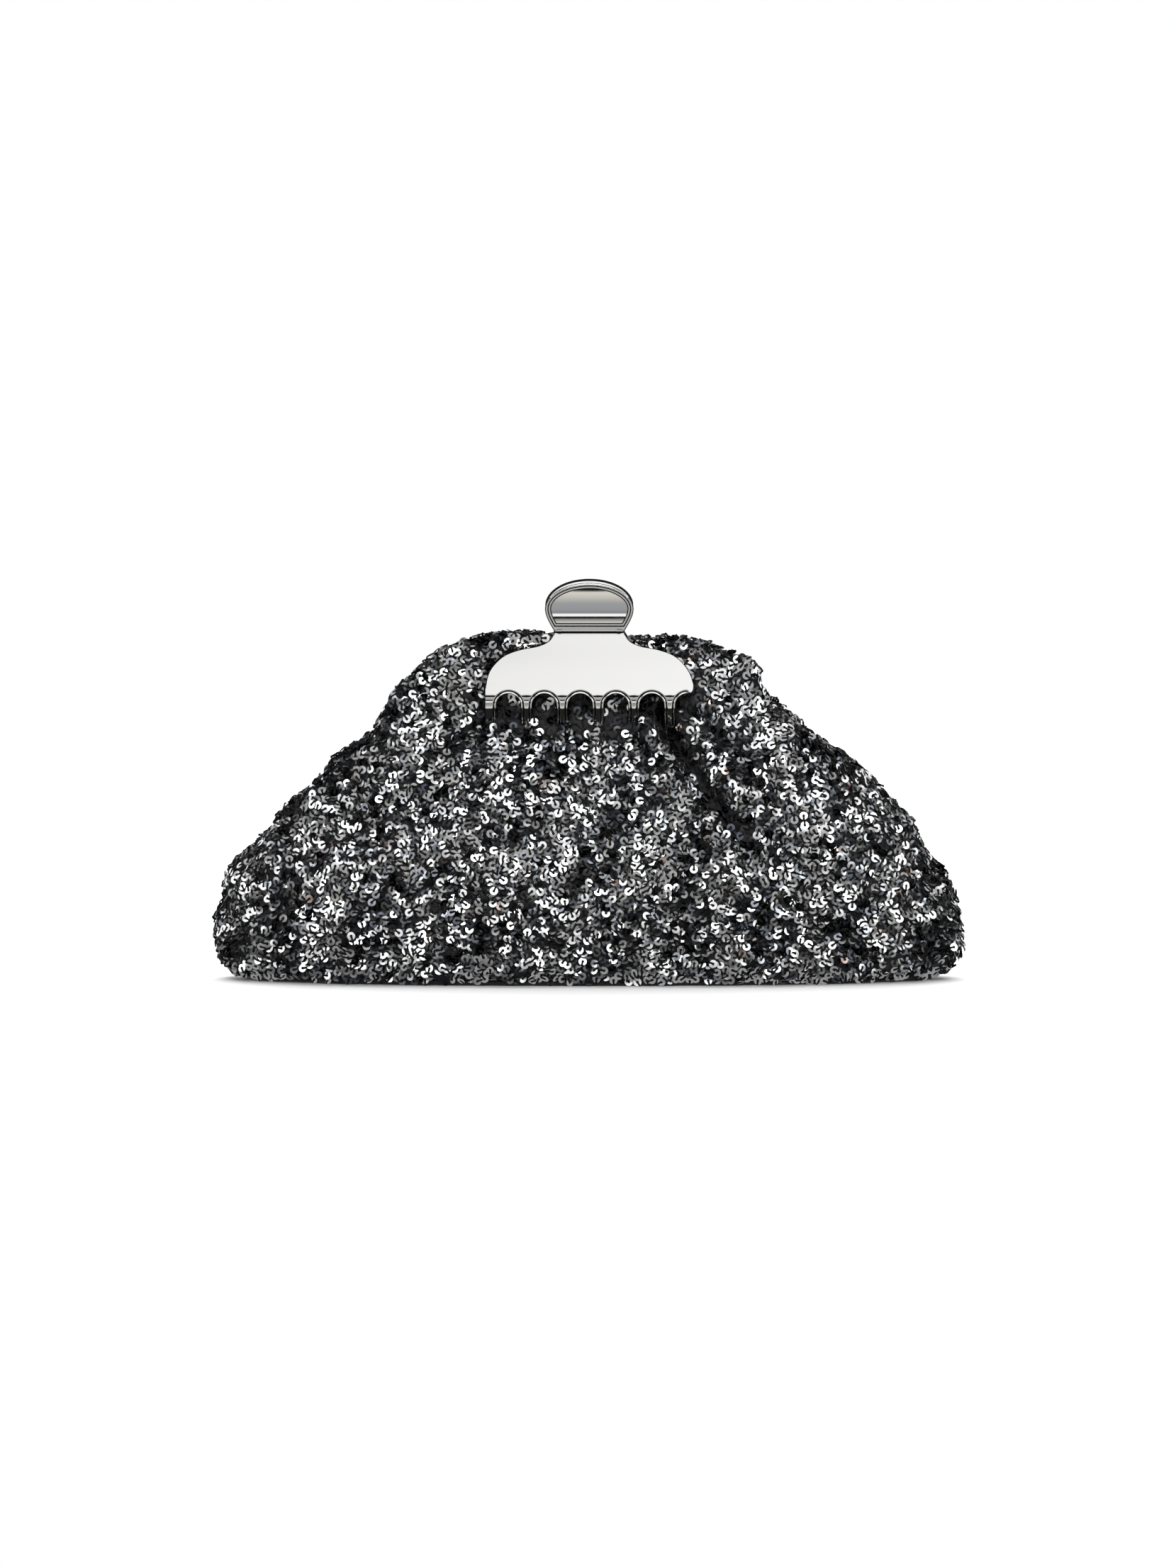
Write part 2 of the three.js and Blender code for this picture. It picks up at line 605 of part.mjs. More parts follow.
function addClip() {
  const bareJaw = jaw();
  addPart("front_jaw", toGeometry(bareJaw), polishedMetal());
  const rearJaw = addPart("rear_jaw", toGeometry(addBosses(bareJaw)), polishedMetal());
  rearJaw.rotation.z = Math.PI;
  const pin = cylinderAlongX(PIN_RADIUS, -PIN_HALF_LENGTH, PIN_HALF_LENGTH, 0, PIN_Z);
  addPart("hinge_pin", pin, springSteel());
  const capProfile = [
    [0, PIN_HALF_LENGTH + FIT_GAP],
    [PIN_RADIUS + FIT_GAP, PIN_HALF_LENGTH + FIT_GAP],
    [PIN_RADIUS + FIT_GAP, PIN_HALF_LENGTH + CAP_WALL - CAP_LENGTH],
    [CAP_RADIUS, PIN_HALF_LENGTH + CAP_WALL - CAP_LENGTH],
    [CAP_RADIUS, PIN_HALF_LENGTH + FIT_GAP],
    [CAP_RADIUS - CAP_WALL, PIN_HALF_LENGTH + CAP_WALL + FIT_GAP],
    [0, PIN_HALF_LENGTH + CAP_WALL + FIT_GAP],
  ].map(([radius, along]) => new THREE.Vector2(radius, along));
  for (const [name, end] of [["pin_cap_left", -1], ["pin_cap_right", 1]]) {
    const cap = addPart(name, new THREE.LatheGeometry(capProfile, ROUND_SIDES), polishedMetal());
    cap.rotation.z = (-end * Math.PI) / 2;
    cap.position.z = PIN_Z;
  }
  const spring = addPart("torsion_spring", springGeometry(), springSteel());
  spring.position.z = PIN_Z;
  const head = FRAME_Y - FIT_GAP;
  const screwProfile = [
    [0, head - SCREW_HEAD],
    [SCREW_HEAD_RADIUS, head - SCREW_HEAD],
    [SCREW_HEAD_RADIUS, head],
    [SCREW_RADIUS, head],
    [SCREW_RADIUS, SCREW_TIP_Y],
    [0, SCREW_TIP_Y],
  ].map(([radius, along]) => new THREE.Vector2(radius, along));
  SCREW_X.forEach((x, index) => {
    const turned = new THREE.LatheGeometry(screwProfile, SCREW_SIDES);
    const screw = addPart(`clip_screw_${index + 1}`, turned, frameSteel());
    screw.position.set(x, 0, SCREW_Z);
  });
}

addPouch();
addMouth();
addClip();

export default bag;
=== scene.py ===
"""A sequinned evening bag with a claw clip: its looks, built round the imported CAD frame."""
import itertools
import json
import math

import bpy
import numpy as np
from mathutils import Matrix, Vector
from mathutils.geometry import delaunay_2d_cdt


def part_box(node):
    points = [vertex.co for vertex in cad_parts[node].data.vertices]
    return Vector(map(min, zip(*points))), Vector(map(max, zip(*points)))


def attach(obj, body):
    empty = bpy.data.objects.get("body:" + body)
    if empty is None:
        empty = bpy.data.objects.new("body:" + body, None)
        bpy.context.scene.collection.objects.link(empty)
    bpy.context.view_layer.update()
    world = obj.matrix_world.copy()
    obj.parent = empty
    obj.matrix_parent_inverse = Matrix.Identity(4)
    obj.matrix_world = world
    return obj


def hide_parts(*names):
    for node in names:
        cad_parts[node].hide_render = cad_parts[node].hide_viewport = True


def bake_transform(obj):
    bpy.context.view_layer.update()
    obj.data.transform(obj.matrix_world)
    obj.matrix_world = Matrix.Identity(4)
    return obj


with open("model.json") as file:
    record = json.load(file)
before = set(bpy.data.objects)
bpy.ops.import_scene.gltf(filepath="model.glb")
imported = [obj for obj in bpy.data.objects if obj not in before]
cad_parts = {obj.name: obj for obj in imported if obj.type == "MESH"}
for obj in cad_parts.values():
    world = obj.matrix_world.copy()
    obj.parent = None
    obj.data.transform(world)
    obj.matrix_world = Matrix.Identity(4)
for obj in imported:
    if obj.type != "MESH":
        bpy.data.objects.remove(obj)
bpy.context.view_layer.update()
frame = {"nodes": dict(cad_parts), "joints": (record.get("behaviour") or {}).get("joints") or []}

MM = 0.001
FRONT = -1
REAR = 1


def box_mm(node):
    """A CAD node's lowest and highest corners in millimetres."""
    low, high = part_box(node)
    return np.array(low) / MM, np.array(high) / MM


def joint(name):
    return next(j for j in frame["joints"] if j["name"] == name)


# ---- sizes from the frame, in millimetres

REAR_LOW, REAR_HIGH = box_mm("outer_rear_panel")
BASE_LOW, BASE_HIGH = box_mm("outer_base_panel")
LINING_LOW, _ = box_mm("lining_rear")
JAW_LOW, JAW_HIGH = box_mm("front_jaw")
PIN_LOW, PIN_HIGH = box_mm("hinge_pin")
CAP_LOW, CAP_HIGH = box_mm("pin_cap_right")
_, SPRING_HIGH = box_mm("torsion_spring")
_, FACING_HIGH = box_mm("facing_front")

HALF_WIDTH = REAR_HIGH[0]
HALF_DEPTH = REAR_HIGH[1]
MOUTH_Z = REAR_HIGH[2]
WALL_BOTTOM = REAR_LOW[2]
HINGE_Z = joint("mouth_hinge")["pos_m"][2] / MM
PIN_Z = joint("jaw_hinge")["pos_m"][2] / MM

# The pouch's half width and half depth, as (share of mouth height, share of the greatest).
WIDTH_PROFILE = [
    (0, 0.903), (0.022, 0.952), (0.067, 0.986), (0.135, 1.0), (0.195, 0.993), (0.307, 0.938),
    (0.517, 0.793), (0.637, 0.69), (0.719, 0.593), (0.824, 0.51), (0.884, 0.462),
    (0.944, 0.407), (0.981, 0.352), (1.0, 0.303),
]
DEPTH_PROFILE = [
    (0, 0.882), (0.06, 0.971), (0.187, 1.0), (0.337, 0.912), (0.487, 0.765), (0.637, 0.574),
    (0.749, 0.397), (0.824, 0.306), (0.899, 0.265), (0.959, 0.235), (1.0, 0.206),
]
SECTION_POWER_BASE = 2.4
SECTION_POWER_MOUTH = 6.0
SEAM_GAP = 0.3
LEAST_DEPTH = 1.1
SEAM_WAVE = 0.9
SEAM_RUN = 3.0
SEAM_FOOT, SEAM_TOP, SEAM_CALM = (4, 20), (118, 133), 0.6
# How much further out the side seams stand than the even outline, as (height, distance) pairs.
LEFT_SEAM = [
    (0, -3.0), (6, 1.0), (22, -0.6), (40, 4.2), (56, 1.4), (74, -1.2), (84, 0.0), (93, -3.8),
    (101, 0.0), (108, 2.7), (128, 3.6),
]
RIGHT_SEAM = [
    (0, -4.0), (6, 0.4), (30, 0.5), (50, 2.2), (70, 3.3), (86, 0.0), (98, -1.0), (109, -4.8),
    (118, 0.3), (123, 2.6), (130, 0.8),
]
PINCH = 0.34
PINCH_Z = 100.0
PINCH_HALF_HEIGHT = 11.0
PINCH_HALF_WIDTH = 56.0
MOUTH_DIP = 3.0
MOUTH_DIP_HALF_WIDTH = 17.0
CORNER_DIP = 3.4
CORNER_X = (32, 54)
RIGHT_DIP = 2.4
RIGHT_DIP_X = 34.0
RIGHT_DIP_HALF_WIDTH = 23.0

# How far each layer lies in from the tips of the sequins.
GROUND_OUTER = 1.7
GROUND_INNER = 2.5
LINING_OUTER = 3.5
LINING_INNER = 4.1
EDGE_INSET = 1.2


# ---- numbers

def hermite(table, at):
    """Values on a smooth curve through (position, value) pairs."""
    xs = np.array([x for x, _ in table], float)
    ys = np.array([y for _, y in table], float)
    at = np.clip(np.asarray(at, float), xs[0], xs[-1])
    i = np.clip(np.searchsorted(xs, at, side="right") - 1, 0, len(xs) - 2)
    before = np.maximum(i - 1, 0)
    after = np.minimum(i + 2, len(xs) - 1)
    span = xs[i + 1] - xs[i]
    start = (ys[i + 1] - ys[before]) / (xs[i + 1] - xs[before]) * span
    end = (ys[after] - ys[i]) / (xs[after] - xs[i]) * span
    t = (at - xs[i]) / span
    t2, t3 = t * t, t * t * t
    at_start = (2 * t3 - 3 * t2 + 1) * ys[i] + (t3 - 2 * t2 + t) * start
    return at_start + (3 * t2 - 2 * t3) * ys[i + 1] + (t3 - t2) * end


def bell(distance, half_width, power=2):
    return np.exp(-(np.abs(distance) / half_width) ** power)


def ramp(value, low, high):
    t = np.clip((value - low) / (high - low), 0, 1)
    return t * t * (3 - 2 * t)


def waves(seed, wavelength, count=9):
    """A smooth random field over (x, z) with about unit height."""
    draw = np.random.default_rng(seed)
    angle = draw.uniform(0, 2 * np.pi, count)
    size = 2 * np.pi / (wavelength * draw.uniform(0.7, 1.5, count))
    phase = draw.uniform(0, 2 * np.pi, count)
    kx, kz = size * np.cos(angle), size * np.sin(angle)

    def field(x, z):
        total = sum(np.sin(a * x + b * z + p) for a, b, p in zip(kx, kz, phase))
        return total / math.sqrt(count / 2)

    return field


def unit(v):
    return v / np.maximum(np.linalg.norm(v, axis=-1, keepdims=True), 1e-9)


# ---- meshes

# Any direction that no path runs along, and the size of a tube's closed end.
SWEEP_SIDEWAYS = (0.31, 0.52, 0.79)
END_SHARE = 1e-3


def mesh_object(name, points, faces, materials, slots=None, smooth=True):
    """A mesh object from points in millimetres and an array of faces of one size."""
    faces = np.asarray(faces, np.int32)
    count, corners = faces.shape
    mesh = bpy.data.meshes.new(name)
    mesh.vertices.add(len(points))
    mesh.vertices.foreach_set("co", (np.asarray(points) * MM).astype(np.float32).ravel())
    mesh.loops.add(count * corners)
    mesh.loops.foreach_set("vertex_index", faces.ravel())
    mesh.polygons.add(count)
    mesh.polygons.foreach_set("loop_start", np.arange(0, count * corners, corners, dtype=np.int32))
    mesh.polygons.foreach_set("use_smooth", np.full(count, smooth))
    for material in materials:
        mesh.materials.append(material)
    if slots is not None:
        mesh.polygons.foreach_set("material_index", np.asarray(slots, np.int32))
    mesh.update(calc_edges=True)
    mesh.validate()
    piece = bpy.data.objects.new(name, mesh)
    bpy.context.scene.collection.objects.link(piece)
    return piece


def at_height(flat, z):
    """Flat points lifted to a height."""
    return np.column_stack([flat, np.full(len(flat), z)])


def grid_faces(columns, rows, offset=0, flip=False, wrap=False):
    """Quads of a grid of (rows + 1) lines of points; with wrap each line closes on itself."""
    width = columns if wrap else columns + 1
    column, row = np.meshgrid(np.arange(columns), np.arange(rows))
    right = (column + 1) % width if wrap else column + 1
    low, high = row * width, (row + 1) * width
    quads = np.stack([low + column, low + right, high + right, high + column], axis=-1).reshape(-1, 4)
    return (quads[:, ::-1] if flip else quads) + offset


def stamp(template, faces, centres, axes):
    """Copies of a small mesh at each centre, turned to each set of three axes."""
    points = centres[:, None, :] + np.einsum("pk,nkc->npc", template, axes)
    shift = np.arange(len(centres))[:, None, None] * len(template)
    return points.reshape(-1, 3), (faces[None] + shift).reshape(-1, faces.shape[1])


def circle(sides):
    """The cosines and sines of even steps round a circle."""
    angle = np.linspace(0, 2 * np.pi, sides, endpoint=False)
    return np.stack([np.cos(angle), np.sin(angle)])


def lathe(name, profile, material, axis, centre, steps=40):
    """A turned piece: profile is (distance along the axis, radius) pairs."""
    along = Vector(axis)
    across = along.orthogonal().normalized()
    cos, sin = circle(steps)[:, :, None]
    ring = cos * np.array(across) + sin * np.array(along.cross(across))
    centre, along = np.array(centre), np.array(along)
    points = np.concatenate([centre + distance * along + radius * ring for distance, radius in profile])
    return mesh_object(name, points, grid_faces(steps, len(profile) - 1, wrap=True), [material])


def sweep(path, radius, sides, closed_ends=True):
    """Points and quads of a round tube along a path."""
    path = np.asarray(path, float)
    along = unit(np.gradient(path, axis=0))
    across = np.cross(along[0], SWEEP_SIDEWAYS)
    cos, sin = circle(sides)[:, :, None]
    rings = []
    for point, direction in zip(path, along):
        across = across - np.dot(across, direction) * direction
        across = across / np.linalg.norm(across)
        rings.append(point + radius * (cos * across + sin * np.cross(direction, across)))
    if closed_ends:
        rings.insert(0, path[0] + END_SHARE * (rings[0] - path[0]))
        rings.append(path[-1] + END_SHARE * (rings[-1] - path[-1]))
    return np.concatenate(rings), grid_faces(sides, len(rings) - 1, wrap=True)


# ---- materials

GRAIN_DARKNESS = 0.72
LEAST_GRAIN, MOST_GRAIN = 0.8, 1.25
THREADS_PER_SCALE = 20
THREAD_RELIEF = 0.0002


def feed(made, **sockets):
    """Give a node's inputs their values or links; in their names _ stands for a space."""
    for name, value in sockets.items():
        socket = made.inputs[name.replace("_", " ")]
        if isinstance(value, bpy.types.NodeSocket):
            made.id_data.links.new(value, socket)
        else:
            socket.default_value = (*value, 1) if socket.type == "RGBA" else value
    return made


def new_material(name, **sockets):
    material = bpy.data.materials.new(name)
    material.use_nodes = True
    tree = material.node_tree
    return material, tree, feed(tree.nodes["Principled BSDF"], **sockets)


def plain(name, color, roughness, metallic=0.0, **sockets):
    """A material whose values are the same all over."""
    return new_material(name, Base_Color=color, Roughness=roughness, Metallic=metallic, **sockets)[0]


def node(tree, kind, settings=(), **sockets):
    made = tree.nodes.new(kind)
    for name, value in dict(settings).items():
        setattr(made, name, value)
    return feed(made, **sockets)


def colour_ramp(tree, factor, stops):
    """A ramp through (position, colour) stops; a single number stands for a grey."""
    made = node(tree, "ShaderNodeValToRGB", Fac=factor)
    elements = made.color_ramp.elements
    while len(elements) < len(stops):
        elements.new(0.5)
    for element, (position, color) in zip(elements, stops):
        element.position = position
        element.color = (*(color if isinstance(color, tuple) else (color,) * 3), 1)
    return made.outputs["Color"]


def object_place(tree):
    return node(tree, "ShaderNodeTexCoord").outputs["Object"]


def noise(tree, scale, detail):
    made = node(tree, "ShaderNodeTexNoise", Vector=object_place(tree), Scale=scale, Detail=detail)
    return made.outputs["Fac"]


def map_range(tree, value, **ends):
    return node(tree, "ShaderNodeMapRange", Value=value, **ends).outputs["Result"]


def chrome(name, least_roughness, most_roughness):
    """Plated metal with faint polishing marks and handling wear."""
    material, tree, shader = new_material(name, Base_Color=(0.9, 0.895, 0.88), Metallic=1.0)
    ends = {"From_Min": 0.3, "From_Max": 0.75, "To_Min": least_roughness, "To_Max": most_roughness}
    feed(shader, Roughness=map_range(tree, noise(tree, 180.0, 4.0), **ends))
    return material


def steel(name, color, roughness):
    """Drawn or rolled steel with a fine grain."""
    material, tree, shader = new_material(name, Metallic=1.0)
    grain = noise(tree, 900.0, 3.0)
    darker = tuple(c * GRAIN_DARKNESS for c in color)
    spread = map_range(tree, grain, To_Min=roughness * LEAST_GRAIN, To_Max=roughness * MOST_GRAIN)
    feed(shader, Base_Color=colour_ramp(tree, grain, [(0.35, darker), (0.65, color)]), Roughness=spread)
    return material


def cloth(name, dark, light, threads_per_metre, bump, sheen):
    """A woven cloth: two sets of threads with slubs in them."""
    material, tree, shader = new_material(name, Roughness=0.75, Sheen_Weight=sheen)
    scale = threads_per_metre / THREADS_PER_SCALE
    waviness = {"Distortion": 1.5, "Detail": 2.0, "Detail_Scale": 3.0}
    place_on = object_place(tree)
    weave = node(tree, "ShaderNodeMath", {"operation": "MAXIMUM"})
    for index, direction in enumerate("XZ"):
        across = {"bands_direction": direction}
        threads = node(tree, "ShaderNodeTexWave", across, Vector=place_on, Scale=scale, **waviness)
        tree.links.new(threads.outputs["Fac"], weave.inputs[index])
    height = weave.outputs["Value"]
    relief = node(tree, "ShaderNodeBump", Height=height, Strength=bump, Distance=THREAD_RELIEF)
    tone = colour_ramp(tree, height, [(0.2, dark), (0.9, light)])
    feed(shader, Base_Color=tone, Normal=relief.outputs["Normal"])
    return material


def fibre_board():
    """Grey-brown pressed board with flecks."""
    material, tree, shader = new_material("fibre_board", Roughness=0.9)
    flecks = node(tree, "ShaderNodeTexVoronoi", Vector=object_place(tree), Scale=700.0)
    stops = [(0.1, (0.2, 0.16, 0.11)), (0.8, (0.34, 0.29, 0.22))]
    feed(shader, Base_Color=colour_ramp(tree, flecks.outputs["Distance"], stops))
    return material


CLIP_METAL = chrome("polished_clip_metal", 0.03, 0.075)
CLIP_RIM = chrome("satin_clip_metal", 0.3, 0.36)
# Near-black metal for the clip's edges, grooves and steps: painted shade and painted dark reflections.
CLIP_PAINTED_SHADE = steel("clip_painted_shade_metal", (0.012, 0.012, 0.013), 0.35)
FRAME_STEEL = steel("frame_steel", (0.62, 0.62, 0.63), 0.35)
SPRING_STEEL = steel("spring_wire", (0.72, 0.72, 0.72), 0.2)
GROUND_CLOTH = cloth("black_ground_cloth", (0.004, 0.004, 0.005), (0.02, 0.02, 0.022), 2600, 0.6, 0.1)
LINING_CLOTH = cloth("black_lining", (0.006, 0.006, 0.007), (0.03, 0.03, 0.033), 4200, 0.35, 0.35)
BOARD = fibre_board()
YARN = [
    plain("black_yarn", (0.003, 0.003, 0.0035), 0.6, Specular_IOR_Level=0.25),
    plain("charcoal_yarn", (0.012, 0.012, 0.014), 0.5, Specular_IOR_Level=0.35),
]
# Each kind of sequin, from dark to bright: name, colour, roughness, and its share of them all.
SEQUIN_KINDS = [
    ("sequin_night", (0.035, 0.038, 0.045), 0.12, 0.09),
    ("sequin_smoke", (0.12, 0.125, 0.14), 0.14, 0.13),
    ("sequin_pewter", (0.33, 0.35, 0.37), 0.16, 0.13),
    ("sequin_rose", (0.75, 0.6, 0.55), 0.2, 0.008),
    ("sequin_silver", (0.78, 0.795, 0.81), 0.2, 0.19),
    ("sequin_bright", (0.93, 0.93, 0.93), 0.25, 0.47),
]
SEQUINS = [plain(name, color, roughness, 1.0) for name, color, roughness, _ in SEQUIN_KINDS]


# ---- the pouch's surface

JAW_HALF_WIDTH = JAW_HIGH[0]
TOOTH_COUNT = 6
TOOTH_PITCH = 13.75
TOOTH_HALF_WIDTH = 2.2
TOOTH_X = -JAW_HALF_WIDTH + TOOTH_HALF_WIDTH + TOOTH_PITCH * np.arange(TOOTH_COUNT)
TOOTH_TIP_Z = JAW_LOW[2]

# Deep folds of each side: (x, z) points from the clip down, depth, half width at top and foot.
FOLDS = {
    FRONT: [
        ([(28, 103), (33, 92), (39, 82.5), (44, 74.5), (50, 66.5), (56, 59), (64, 40)], 9.0, 3.0, 7.0),
        ([(-39, 101), (-47, 96), (-58, 90), (-72, 80)], 2.2, 2.4, 5.0),
        ([(39, 103), (46, 97), (60, 86), (78, 66)], 1.8, 3.0, 7.0),
    ],
    REAR: [
        ([(-24, 104), (-28, 94), (-36, 76), (-44, 50)], 3.8, 2.6, 7.0),
        ([(40, 101), (50, 94), (66, 80), (80, 62)], 2.4, 2.6, 6.0),
    ],
}
# Random swells of the walls and of the side seams, as (seed, wavelength).
broad_swell = {FRONT: waves(3, 62), REAR: waves(4, 62)}
small_swell = {FRONT: waves(5, 22), REAR: waves(6, 22)}
edge_swell = {-1: waves(7, 24), 1: waves(8, 24)}
BROAD_SWELL = 1.3
SMALL_SWELL = 0.55
SWELL_FOOT, QUIET_TOP, QUIET_TOP_SHARE, QUIET_CLIP_SHARE = (0, 14), (95, 112), 0.75, 0.85

# The soft swell beside each fold, measured in the fold's own depth and width.
SWELL_HEIGHT = 0.45
SWELL_OFFSET = 2.1
SWELL_WIDTH = 1.6
CREASE_WIDTH = 0.8
FULL_CREASE_DEPTH = 6.0

GATHER_DEPTH = 2.4
GATHER_FADE = 17.0
GATHER_FAN = 0.011
GATHER_WIDTH = 2.4
GATHER_WIDENING = 0.07
GATHER_START = 4.0
GATHER_FOOT, GATHER_TOP = (38, 78), (106, 112)
GATHER_SWELL, GATHER_SWELL_SPAN = 0.5, (40, 6)
PUFF_HEIGHT = 2.4
PUFF_RISE = 1.0
PUFF_HALF_HEIGHT = 5.0
# Half width and power of the bells across the clip.
UNDER_CLIP, BEHIND_CLIP = (42, 8), (44, 8)
CLIP_ZONE_FOOT = (92, 99)


def hill(value, up, down):
    """A ramp up over one range of values and down again over another."""
    return ramp(value, *up) * (1 - ramp(value, *down))


def folds_at(side, x, z):
    """Each fold's depth, the distance from its line, its half width, ends, and its lower end's side."""
    for line, depth, top_width, foot_width in FOLDS[side]:
        along = sorted((pz, px) for px, pz in line)
        low, high = along[0][0], along[-1][0]
        width = foot_width + (top_width - foot_width) * np.clip((z - low) / (high - low), 0, 1)
        yield depth, x - hermite(along, z), width, low, high, np.sign(line[-1][0] - line[0][0])


def fold_depth(side, x, z):
    """How far in the cloth is drawn by a side's folds, with a soft swell on one side of each."""
    total = np.zeros_like(x)
    for depth, offset, width, low, high, outward in folds_at(side, x, z):
        strength = hill(z, (low - 14, low + 0.75 * (high - low)), (high - 2, high + 5))
        total = total - depth * strength * bell(outward * offset, width)
        swell = bell(outward * offset + SWELL_OFFSET * width, SWELL_WIDTH * width)
        total = total + SWELL_HEIGHT * depth * strength * swell
    return total


def creased(side, x, z):
    """1 at the bottom of the deep folds, falling to 0 on either side."""
    total = np.zeros_like(x)
    for depth, offset, width, low, high, _ in folds_at(side, x, z):
        strength = hill(z, (low, low + 0.6 * (high - low)), (high, high + 4))
        strength = strength * min(depth / FULL_CREASE_DEPTH, 1)
        total = np.maximum(total, strength * bell(offset, CREASE_WIDTH * width))
    return total


def gathers(side, x, z):
    """Furrows that fan out from under the teeth, with puffs between them."""
    below = np.clip(TOOTH_TIP_Z + GATHER_START - z, 0, None)
    teeth = TOOTH_X if side == FRONT else -TOOTH_X
    depth = GATHER_DEPTH * np.exp(-below / GATHER_FADE) * hill(z, GATHER_FOOT, GATHER_TOP)
    total = np.zeros_like(x)
    for tooth in teeth:
        furrow = bell(x - tooth * (1 + GATHER_FAN * below), GATHER_WIDTH + GATHER_WIDENING * below)
        total = total - depth * furrow
    puff = PUFF_HEIGHT * bell(z - TOOTH_TIP_Z - PUFF_RISE, PUFF_HALF_HEIGHT) * bell(x, *UNDER_CLIP)
    return total + GATHER_SWELL * depth * bell(x, *GATHER_SWELL_SPAN) + puff


def relief(side, x, z):
    """How far out of its even shape the cloth stands."""
    swell = BROAD_SWELL * broad_swell[side](x, z) + SMALL_SWELL * small_swell[side](x, z)
    quiet = ramp(z, *SWELL_FOOT) * (1 - QUIET_TOP_SHARE * ramp(z, *QUIET_TOP))
    quiet = quiet * (1 - QUIET_CLIP_SHARE * clip_zone(x, z))
    return swell * quiet + fold_depth(side, x, z) + gathers(side, x, z)


def clip_zone(x, z):
    """1 behind the clip, where the cloth is held flat."""
    return bell(x, *BEHIND_CLIP) * ramp(z, *CLIP_ZONE_FOOT)


def section_power(z):
    rise = np.clip(z / HINGE_Z, 0, 1)
    return SECTION_POWER_BASE + (SECTION_POWER_MOUTH - SECTION_POWER_BASE) * rise**2


def wall(side, across, z, inset):
    """Points of the pouch's wall, `inset` in from the sequins' tips; across runs from -1 to 1."""
    across, z = np.broadcast_arrays(np.asarray(across, float), np.asarray(z, float))
    left_edge, right_edge = (edge_swell[end](across * SEAM_RUN, z) for end in (-1, 1))
    edge = np.where(across < 0, left_edge, right_edge)
    half_width = HALF_WIDTH * hermite(WIDTH_PROFILE, z / MOUTH_Z) - inset * EDGE_INSET
    calm = 1 - SEAM_CALM * ramp(z, *SEAM_TOP)
    half_width = half_width + SEAM_WAVE * edge * ramp(z, *SEAM_FOOT) * calm
    rightness = ramp(across, -0.5, 0.5)
    left_seam, right_seam = hermite(LEFT_SEAM, z), hermite(RIGHT_SEAM, z)
    half_width = half_width + left_seam * (1 - rightness) + right_seam * rightness
    x = across * half_width
    pinch = PINCH * bell(x, PINCH_HALF_WIDTH, 6) * bell(z - PINCH_Z, PINCH_HALF_HEIGHT)
    depth = HALF_DEPTH * hermite(DEPTH_PROFILE, z / MOUTH_Z) * (1 - pinch) - inset
    depth = np.maximum(depth + relief(side, x, z), LEAST_DEPTH)
    fullness = np.sqrt(np.maximum(1 - np.abs(across) ** section_power(z), 0))
    above = np.clip((z - HINGE_Z) / (MOUTH_Z - HINGE_Z), 0, 1)
    dip = MOUTH_DIP * bell(x, MOUTH_DIP_HALF_WIDTH) + CORNER_DIP * ramp(np.abs(x), *CORNER_X)
    dip = (dip + RIGHT_DIP * bell(x - RIGHT_DIP_X, RIGHT_DIP_HALF_WIDTH)) * above
    y = side * (SEAM_GAP + (depth - SEAM_GAP) * fullness)
    return np.stack([x, y, z - dip], axis=-1)


MOUTH_TOP = MOUTH_Z - 1.6
LIP_INNER_Y = 1.5
LIP_LENGTH = 8.0
LIP_RISE = 0.55
TURN_IN = 5.0


def shell(side, across, height, inset):
    """The outside cloth: up the wall, then over the mouth's lip and a little way down inside."""
    across, height = np.broadcast_arrays(np.asarray(across, float), np.asarray(height, float))
    top = wall(side, across, np.minimum(height, MOUTH_TOP), inset)
    outer = np.abs(top[..., 1])
    inner = np.minimum(LIP_INNER_Y + (inset - GROUND_OUTER), outer)
    centre = (outer + inner) / 2
    radius = (outer - inner) / 2
    turn = np.clip((height - MOUTH_TOP) / LIP_LENGTH, 0, 1) * np.pi
    y = np.where(height > MOUTH_TOP, centre + radius * np.cos(turn), outer)
    down = np.clip(height - MOUTH_TOP - LIP_LENGTH, 0, None)
    z = top[..., 2] + LIP_RISE * radius * np.sin(turn) - down
    return np.stack([top[..., 0], side * y, z], axis=-1)


SHELL_TOP = MOUTH_TOP + LIP_LENGTH + TURN_IN
CLOTH_COLUMNS, CLOTH_ROWS, LIP_ROWS = 150, 110, 16
LINING_COLUMNS, LINING_ROWS = 90, 80
FACING_Y = 1.3
FACING_NARROWING = 0.2
# Where the lining closes in to the facing and narrows, as heights over the mouth's hinge.
LINING_CLOSES, LINING_NARROWS = (-6, 9), (-8, 0)
BASE_STEPS = 160
BASE_SHARES = (0.0, 0.5, 0.9, 0.985)
BASE_CENTRE = 1e-4
BASE_ROUNDING = 0.35


def even_across(columns):
    """Positions across the bag, closer together where the wall turns at the side seams."""
    return np.sin(np.linspace(-np.pi / 2, np.pi / 2, columns + 1))


def closed_layer(surface, side, heights, columns, outer, inner):
    """A cloth of real thickness between two insets of a surface, closed at its edges."""
    across, height = np.meshgrid(even_across(columns), heights)
    points = [surface(side, across, height, inset).reshape(-1, 3) for inset in (outer, inner)]
    rows = len(heights) - 1
    second = (columns + 1) * len(heights)
    faces = [
        grid_faces(columns, rows, flip=side == REAR),
        grid_faces(columns, rows, offset=second, flip=side == FRONT),
    ]
    width = columns + 1
    bottom = np.arange(width)
    left = np.arange(0, second, width)
    top, right = bottom + rows * width, left + columns
    for line, turned in ((bottom, False), (top, True), (left, True), (right, False)):
        rim = np.stack([line[1:], line[:-1], line[:-1] + second, line[1:] + second], axis=-1)
        faces.append(rim[:, ::-1] if turned != (side == REAR) else rim)
    return np.concatenate(points), np.concatenate(faces)


